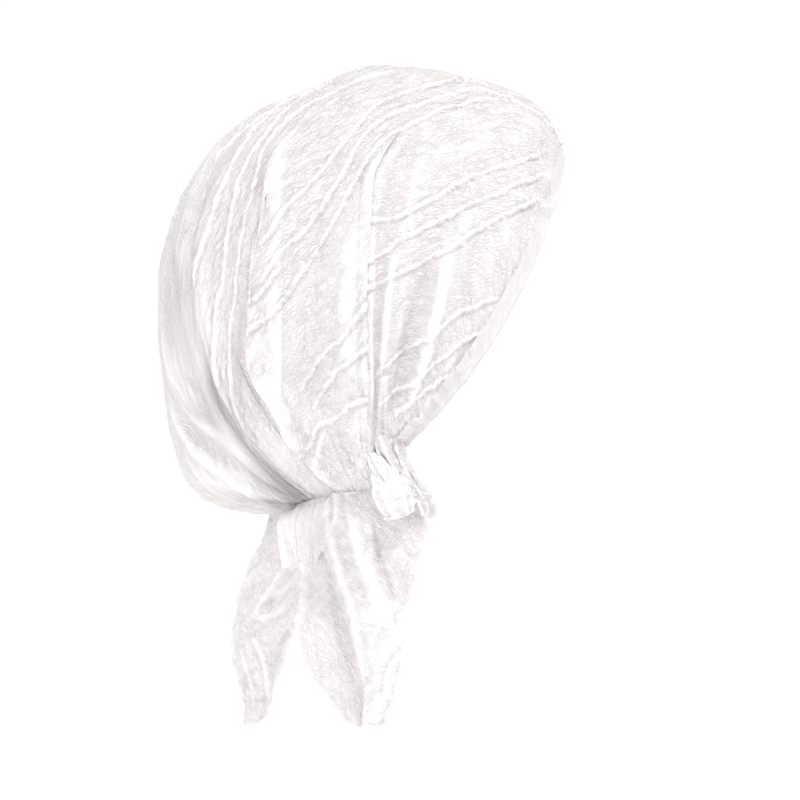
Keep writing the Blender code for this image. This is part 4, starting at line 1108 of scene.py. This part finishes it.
def cotton(name, crinkle=1.0, tint=(1.0, 1.0, 1.0), see_through=0.22, stripes=0.0):
    """Crinkled cotton gauze: wavy creases along the stripes, columns across them, and a plain weave."""
    material = bpy.data.materials.new(name)
    material.use_nodes = True
    tree = material.node_tree
    links = tree.links
    shader = tree.nodes["Principled BSDF"]
    output = tree.nodes["Material Output"]
    uv = node(tree, "ShaderNodeUVMap", uv_map="cloth").outputs[0]
    parts = node(tree, "ShaderNodeSeparateXYZ")
    links.new(uv, parts.inputs[0])
    along, across = parts.outputs[0], parts.outputs[1]

    # Creases about 2 mm apart, pushed about by noise
    push = node(tree, "ShaderNodeTexNoise", noise_dimensions="2D")
    push.inputs["Scale"].default_value = 210.0
    push.inputs["Detail"].default_value = 2.0
    links.new(uv, push.inputs["Vector"])
    shift = math_node(tree, "MULTIPLY", math_node(tree, "SUBTRACT", push.outputs[0], 0.5), 0.0060)
    wave_at = math_node(tree, "ADD", across, shift)
    column = math_node(tree, "ADD", along, math_node(tree, "MULTIPLY", shift, 0.8))
    offset = math_node(tree, "MULTIPLY", math_node(tree, "SINE", math_node(tree, "MULTIPLY", column, 1050.0)), 0.9)
    crease = math_node(tree, "SINE", math_node(tree, "ADD", math_node(tree, "MULTIPLY", wave_at, 3100.0), offset))
    columns = math_node(tree, "SINE", math_node(tree, "MULTIPLY", column, 1050.0))

    # Where the creases are strong and where the cloth lies smooth
    patches = node(tree, "ShaderNodeTexNoise", noise_dimensions="2D")
    patches.inputs["Scale"].default_value = 62.0
    patches.inputs["Detail"].default_value = 3.0
    links.new(uv, patches.inputs["Vector"])
    strong = node(tree, "ShaderNodeMapRange")
    strong.inputs["From Min"].default_value = 0.34
    strong.inputs["From Max"].default_value = 0.60
    strong.inputs["To Min"].default_value = 0.62
    links.new(patches.outputs[0], strong.inputs["Value"])
    calm = node(tree, "ShaderNodeAttribute", attribute_name="calm")
    painted_shading = node(tree, "ShaderNodeAttribute", attribute_name="painted_shading")
    raised = math_node(tree, "MAXIMUM", painted_shading.outputs["Fac"], 0.0)
    free = math_node(tree, "SUBTRACT", 1.0, math_node(tree, "MULTIPLY", calm.outputs["Fac"], 0.8))
    free = math_node(tree, "MULTIPLY", free, math_node(tree, "SUBTRACT", 1.0, math_node(tree, "MULTIPLY", raised, 0.5)))
    amount = math_node(tree, "MULTIPLY", strong.outputs[0], free)
    puckers = node(tree, "ShaderNodeTexNoise", noise_dimensions="2D")
    puckers.inputs["Scale"].default_value = 520.0
    puckers.inputs["Detail"].default_value = 4.0
    links.new(uv, puckers.inputs["Vector"])

    crinkled = math_node(tree, "MULTIPLY", crease, amount)
    crinkled = math_node(tree, "ADD", crinkled, math_node(tree, "MULTIPLY", columns, 0.28))
    crinkled = math_node(tree, "ADD", crinkled, math_node(tree, "MULTIPLY", puckers.outputs[0], 1.3))
    warp = math_node(tree, "SINE", math_node(tree, "MULTIPLY", along, 12500.0))
    weft = math_node(tree, "SINE", math_node(tree, "MULTIPLY", across, 11000.0))
    weave = math_node(tree, "MULTIPLY", warp, weft)
    height = math_node(tree, "ADD", crinkled, math_node(tree, "MULTIPLY", weave, 0.10))
    bump = node(tree, "ShaderNodeBump")
    bump.inputs["Strength"].default_value = 0.80 * crinkle
    bump.inputs["Distance"].default_value = 0.00046
    links.new(height, bump.inputs["Height"])

    # Colour: white cotton, a little warmer and greyer in some places at random, with painted shade in the troughs of
    # the creases, painted shade in the hollows and painted highlight on the ridges and cords
    drift = node(tree, "ShaderNodeTexNoise", noise_dimensions="3D")
    drift.inputs["Scale"].default_value = 14.0
    drift.inputs["Detail"].default_value = 3.0
    place_in_hat = node(tree, "ShaderNodeTexCoord")
    links.new(place_in_hat.outputs["Object"], drift.inputs["Vector"])
    shade = node(tree, "ShaderNodeMix", data_type="RGBA")
    shade.inputs[6].default_value = (0.895 * tint[0], 0.880 * tint[1], 0.879 * tint[2], 1.0)
    shade.inputs[7].default_value = (0.925 * tint[0], 0.916 * tint[1], 0.915 * tint[2], 1.0)
    links.new(drift.outputs[0], shade.inputs[0])
    # Painted shade: the colour darker in the troughs of the crinkle
    crease_shade = node(tree, "ShaderNodeMix", data_type="RGBA", blend_type="MULTIPLY")
    crease_shade.inputs[7].default_value = (0.905, 0.893, 0.893, 1.0)
    dips = node(tree, "ShaderNodeMapRange")
    dips.inputs["From Min"].default_value = 0.9
    dips.inputs["From Max"].default_value = -0.6
    links.new(crinkled, dips.inputs["Value"])
    links.new(dips.outputs[0], crease_shade.inputs[0])
    links.new(shade.outputs[2], crease_shade.inputs[6])
    # Painted shade in the hollows and painted highlight on the ridges and cords, from the shading mask
    ridges = node(tree, "ShaderNodeMapRange")
    ridges.inputs["From Min"].default_value = -1.0
    ridges.inputs["From Max"].default_value = 1.0
    links.new(painted_shading.outputs["Fac"], ridges.inputs["Value"])
    ramp = node(tree, "ShaderNodeValToRGB")
    ramp.color_ramp.elements[0].color = (0.880, 0.864, 0.862, 1.0)
    ramp.color_ramp.elements[1].color = (1.06, 1.06, 1.06, 1.0)
    centre = ramp.color_ramp.elements.new(0.5)
    centre.color = (0.922, 0.913, 0.914, 1.0)
    links.new(ridges.outputs[0], ramp.inputs[0])
    bright = node(tree, "ShaderNodeMix", data_type="RGBA", blend_type="MULTIPLY")
    bright.inputs[0].default_value = 1.0
    links.new(crease_shade.outputs[2], bright.inputs[6])
    links.new(ramp.outputs[0], bright.inputs[7])

    links.new(bright.outputs[2], shader.inputs["Base Color"])
    links.new(bump.outputs[0], shader.inputs["Normal"])
    shader.inputs["Roughness"].default_value = 0.92
    shader.inputs["Specular IOR Level"].default_value = 0.15
    shader.inputs["Sheen Weight"].default_value = 0.18
    shader.inputs["Sheen Roughness"].default_value = 0.5
    glow = node(tree, "ShaderNodeBsdfTranslucent")
    links.new(bright.outputs[2], glow.inputs["Color"])
    links.new(bump.outputs[0], glow.inputs["Normal"])
    mixed = node(tree, "ShaderNodeMixShader")
    mixed.inputs[0].default_value = see_through
    links.new(shader.outputs[0], mixed.inputs[1])
    links.new(glow.outputs[0], mixed.inputs[2])
    links.new(mixed.outputs[0], output.inputs["Surface"])
    return material


def floor_material():
    material = bpy.data.materials.new("pale floor")
    material.use_nodes = True
    tree = material.node_tree
    shader = tree.nodes["Principled BSDF"]
    noise = node(tree, "ShaderNodeTexNoise")
    noise.inputs["Scale"].default_value = 3.0
    mix = node(tree, "ShaderNodeMix", data_type="RGBA")
    mix.inputs[6].default_value = (0.955, 0.955, 0.955, 1.0)
    mix.inputs[7].default_value = (0.965, 0.965, 0.965, 1.0)
    tree.links.new(noise.outputs[0], mix.inputs[0])
    tree.links.new(mix.outputs[2], shader.inputs["Base Color"])
    shader.inputs["Roughness"].default_value = 0.95
    shader.inputs["Specular IOR Level"].default_value = 0.1
    return material


# The pieces

def make_crown(material):
    grid, across, along, painted_shading, calm, cuts = crown_detail()
    grid, across, along, painted_shading, calm = with_skirt(grid, across, along, painted_shading, calm)
    normals = grid_normals(grid)
    made = []
    for k, panel in enumerate(PANELS):
        part = slice(cuts[k], cuts[k + 1] + 1)
        angle = math.radians(panel.stripe_angle)
        middle = (cuts[k] + cuts[k + 1]) // 2
        level = np.abs(along[part]) - 0.12
        out = across[part] - across[middle : middle + 1]
        cloth = np.stack(
            [math.cos(angle) * out + math.sin(angle) * level, math.cos(angle) * level - math.sin(angle) * out],
            axis=-1,
        )
        masks = {"painted_shading": painted_shading[part], "calm": calm[part]}
        piece = mesh_piece(panel.name, grid[part], material, cloth, masks, normals=normals[part])
        made.append((piece, grid[part]))
    rows = front_turning(grid, normals)
    steps = np.arange(len(rows))[::-1][:, None] * 0.001
    cloth = np.stack(np.broadcast_arrays(-steps, along[:1]), axis=-1)
    turning = mesh_piece("front_turning", rows, material, cloth, {"painted_shading": np.zeros((1, 1)), "calm": 1.0})
    made.append((turning, rows))
    for piece, _ in made:
        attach(piece, "root")
        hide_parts("crown")
    return made


def dressed(name, grid, cloth, painted_shading, material, replaced, calm=0.0, close=False):
    masks = {"painted_shading": painted_shading, "calm": calm}
    piece = mesh_piece(name, grid, material, cloth, masks, close)
    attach(piece, "root")
    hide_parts(replaced)
    return piece


def make_stage():
    """A pale floor under the tails, soft light, and the camera at the hat's right side."""
    scene = bpy.context.scene
    low = cad_box[0][2] - 0.22
    mesh = bpy.data.meshes.new("floor")
    mesh.from_pydata([(-6, -6, low), (6, -6, low), (6, 6, low), (-6, 6, low)], [], [(0, 1, 2, 3)])
    mesh.materials.append(floor_material())
    ground = bpy.data.objects.new("floor", mesh)
    scene.collection.objects.link(ground)

    world = bpy.data.worlds.new("studio")
    world.use_nodes = True
    tree = world.node_tree
    sky = node(tree, "ShaderNodeTexCoord")
    parts = node(tree, "ShaderNodeSeparateXYZ")
    tree.links.new(sky.outputs["Generated"], parts.inputs[0])
    level = math_node(tree, "ABSOLUTE", parts.outputs[2])
    band = node(tree, "ShaderNodeMapRange", interpolation_type="SMOOTHSTEP")
    band.inputs["From Min"].default_value = 0.10
    band.inputs["From Max"].default_value = 0.40
    band.inputs["To Min"].default_value = 1.03
    band.inputs["To Max"].default_value = SKY
    tree.links.new(level, band.inputs["Value"])
    tree.links.new(band.outputs[0], tree.nodes["Background"].inputs[1])
    tree.nodes["Background"].inputs[0].default_value = (1.0, 0.998, 0.996, 1.0)
    scene.world = world
    scene.view_settings.view_transform = "Standard"
    scene.view_settings.look = "None"

    for name, direction, strength, spread in SUNS:
        sun = bpy.data.lights.new(name, "SUN")
        sun.energy = strength
        sun.angle = math.radians(spread)
        sun.color = (1.0, 0.995, 0.99)
        thing = bpy.data.objects.new(name, sun)
        thing.rotation_euler = Vector([-c for c in direction]).to_track_quat("-Z", "Y").to_euler()
        scene.collection.objects.link(thing)

    stands, aims, power, width = LOW_LAMP
    lamp = bpy.data.lights.new("low lamp", "AREA")
    lamp.energy = power
    lamp.size = width
    thing = bpy.data.objects.new("low lamp", lamp)
    thing.location = stands
    thing.rotation_euler = (Vector(aims) - Vector(stands)).to_track_quat("-Z", "Y").to_euler()
    scene.collection.objects.link(thing)

    camera = bpy.data.cameras.new("camera")
    camera.lens = 250.0
    camera.sensor_width = 36.0
    camera.clip_end = 30.0
    thing = bpy.data.objects.new("camera", camera)
    span = 800 * SIDE_STEP
    distance = span * camera.lens / camera.sensor_width
    centre = (0.0, (SIDE_FRONT - 400) * SIDE_STEP, (SIDE_TOP - 400) * SIDE_STEP)
    thing.location = (-0.03 - distance, centre[1], centre[2])
    thing.rotation_euler = (math.pi / 2, 0.0, -math.pi / 2)
    scene.collection.objects.link(thing)
    scene.camera = thing


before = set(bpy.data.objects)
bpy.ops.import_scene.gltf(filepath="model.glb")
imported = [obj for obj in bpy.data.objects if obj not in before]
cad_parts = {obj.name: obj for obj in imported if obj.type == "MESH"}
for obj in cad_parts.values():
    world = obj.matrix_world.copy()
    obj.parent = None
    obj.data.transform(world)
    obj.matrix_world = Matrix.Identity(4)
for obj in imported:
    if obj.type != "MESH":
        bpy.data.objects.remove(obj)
cad_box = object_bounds()

crown_cotton = cotton("crinkled cotton")
tail_cotton = cotton("tail cotton", crinkle=0.9, tint=(0.975, 0.973, 0.973), see_through=0.28)
# The strap and knot: the same cotton with a darker tint, as painted shade
shaded_tie_cotton = cotton("gathered cotton", crinkle=0.8, tint=(0.955, 0.955, 0.957), see_through=0.12)

crown_pieces = make_crown(crown_cotton)

for index, rolls in enumerate(STRAP_ROLLS):
    cells = roll_grid(rolls, 140, 80, 5, 0.7, 3 + index, 0.26)
    dressed("gathered_strap_%d" % (index + 1), *cells, shaded_tie_cotton, "front_strap", close=True)
for index, rolls in enumerate(KNOT_ROLLS):
    cells = roll_grid(rolls, 140, 105, 5 + 2 * index, 0.7 - 0.5 * index, 9 + index, 0.20 - 0.04 * index)
    dressed("knot_%d" % (index + 1), *cells, shaded_tie_cotton, "knot_wrap", calm=0.85, close=True)
dressed("gathered_tie", *tie_grid(560, 36), shaded_tie_cotton, "nape_tie", close=True)

hem = flap_grid(680)
flap = dressed("ruffled_hem", *hem, tail_cotton, "nape_flap")

side_tail = tail_surface(
    "side_tail", SIDE_TAIL, SIDE_FOLDS, 185, 330, SIDE_TAIL_WIDTH, SIDE_TAIL_LENGTH,
    SIDE_TAIL_FORWARD, SIDE_TAIL_DROP, 21,
)
side_piece = dressed("wide_tail", *side_tail[:3], tail_cotton, "side_tail", side_tail[3])

back_tail = tail_surface(
    "back_tail", BACK_TAIL, BACK_FOLDS, 155, 185, BACK_TAIL_WIDTH, BACK_TAIL_LENGTH,
    BACK_TAIL_FORWARD, BACK_TAIL_DROP, 41,
)
back_piece = dressed("narrow_tail", *back_tail[:3], tail_cotton, "back_tail", back_tail[3])

make_stage()
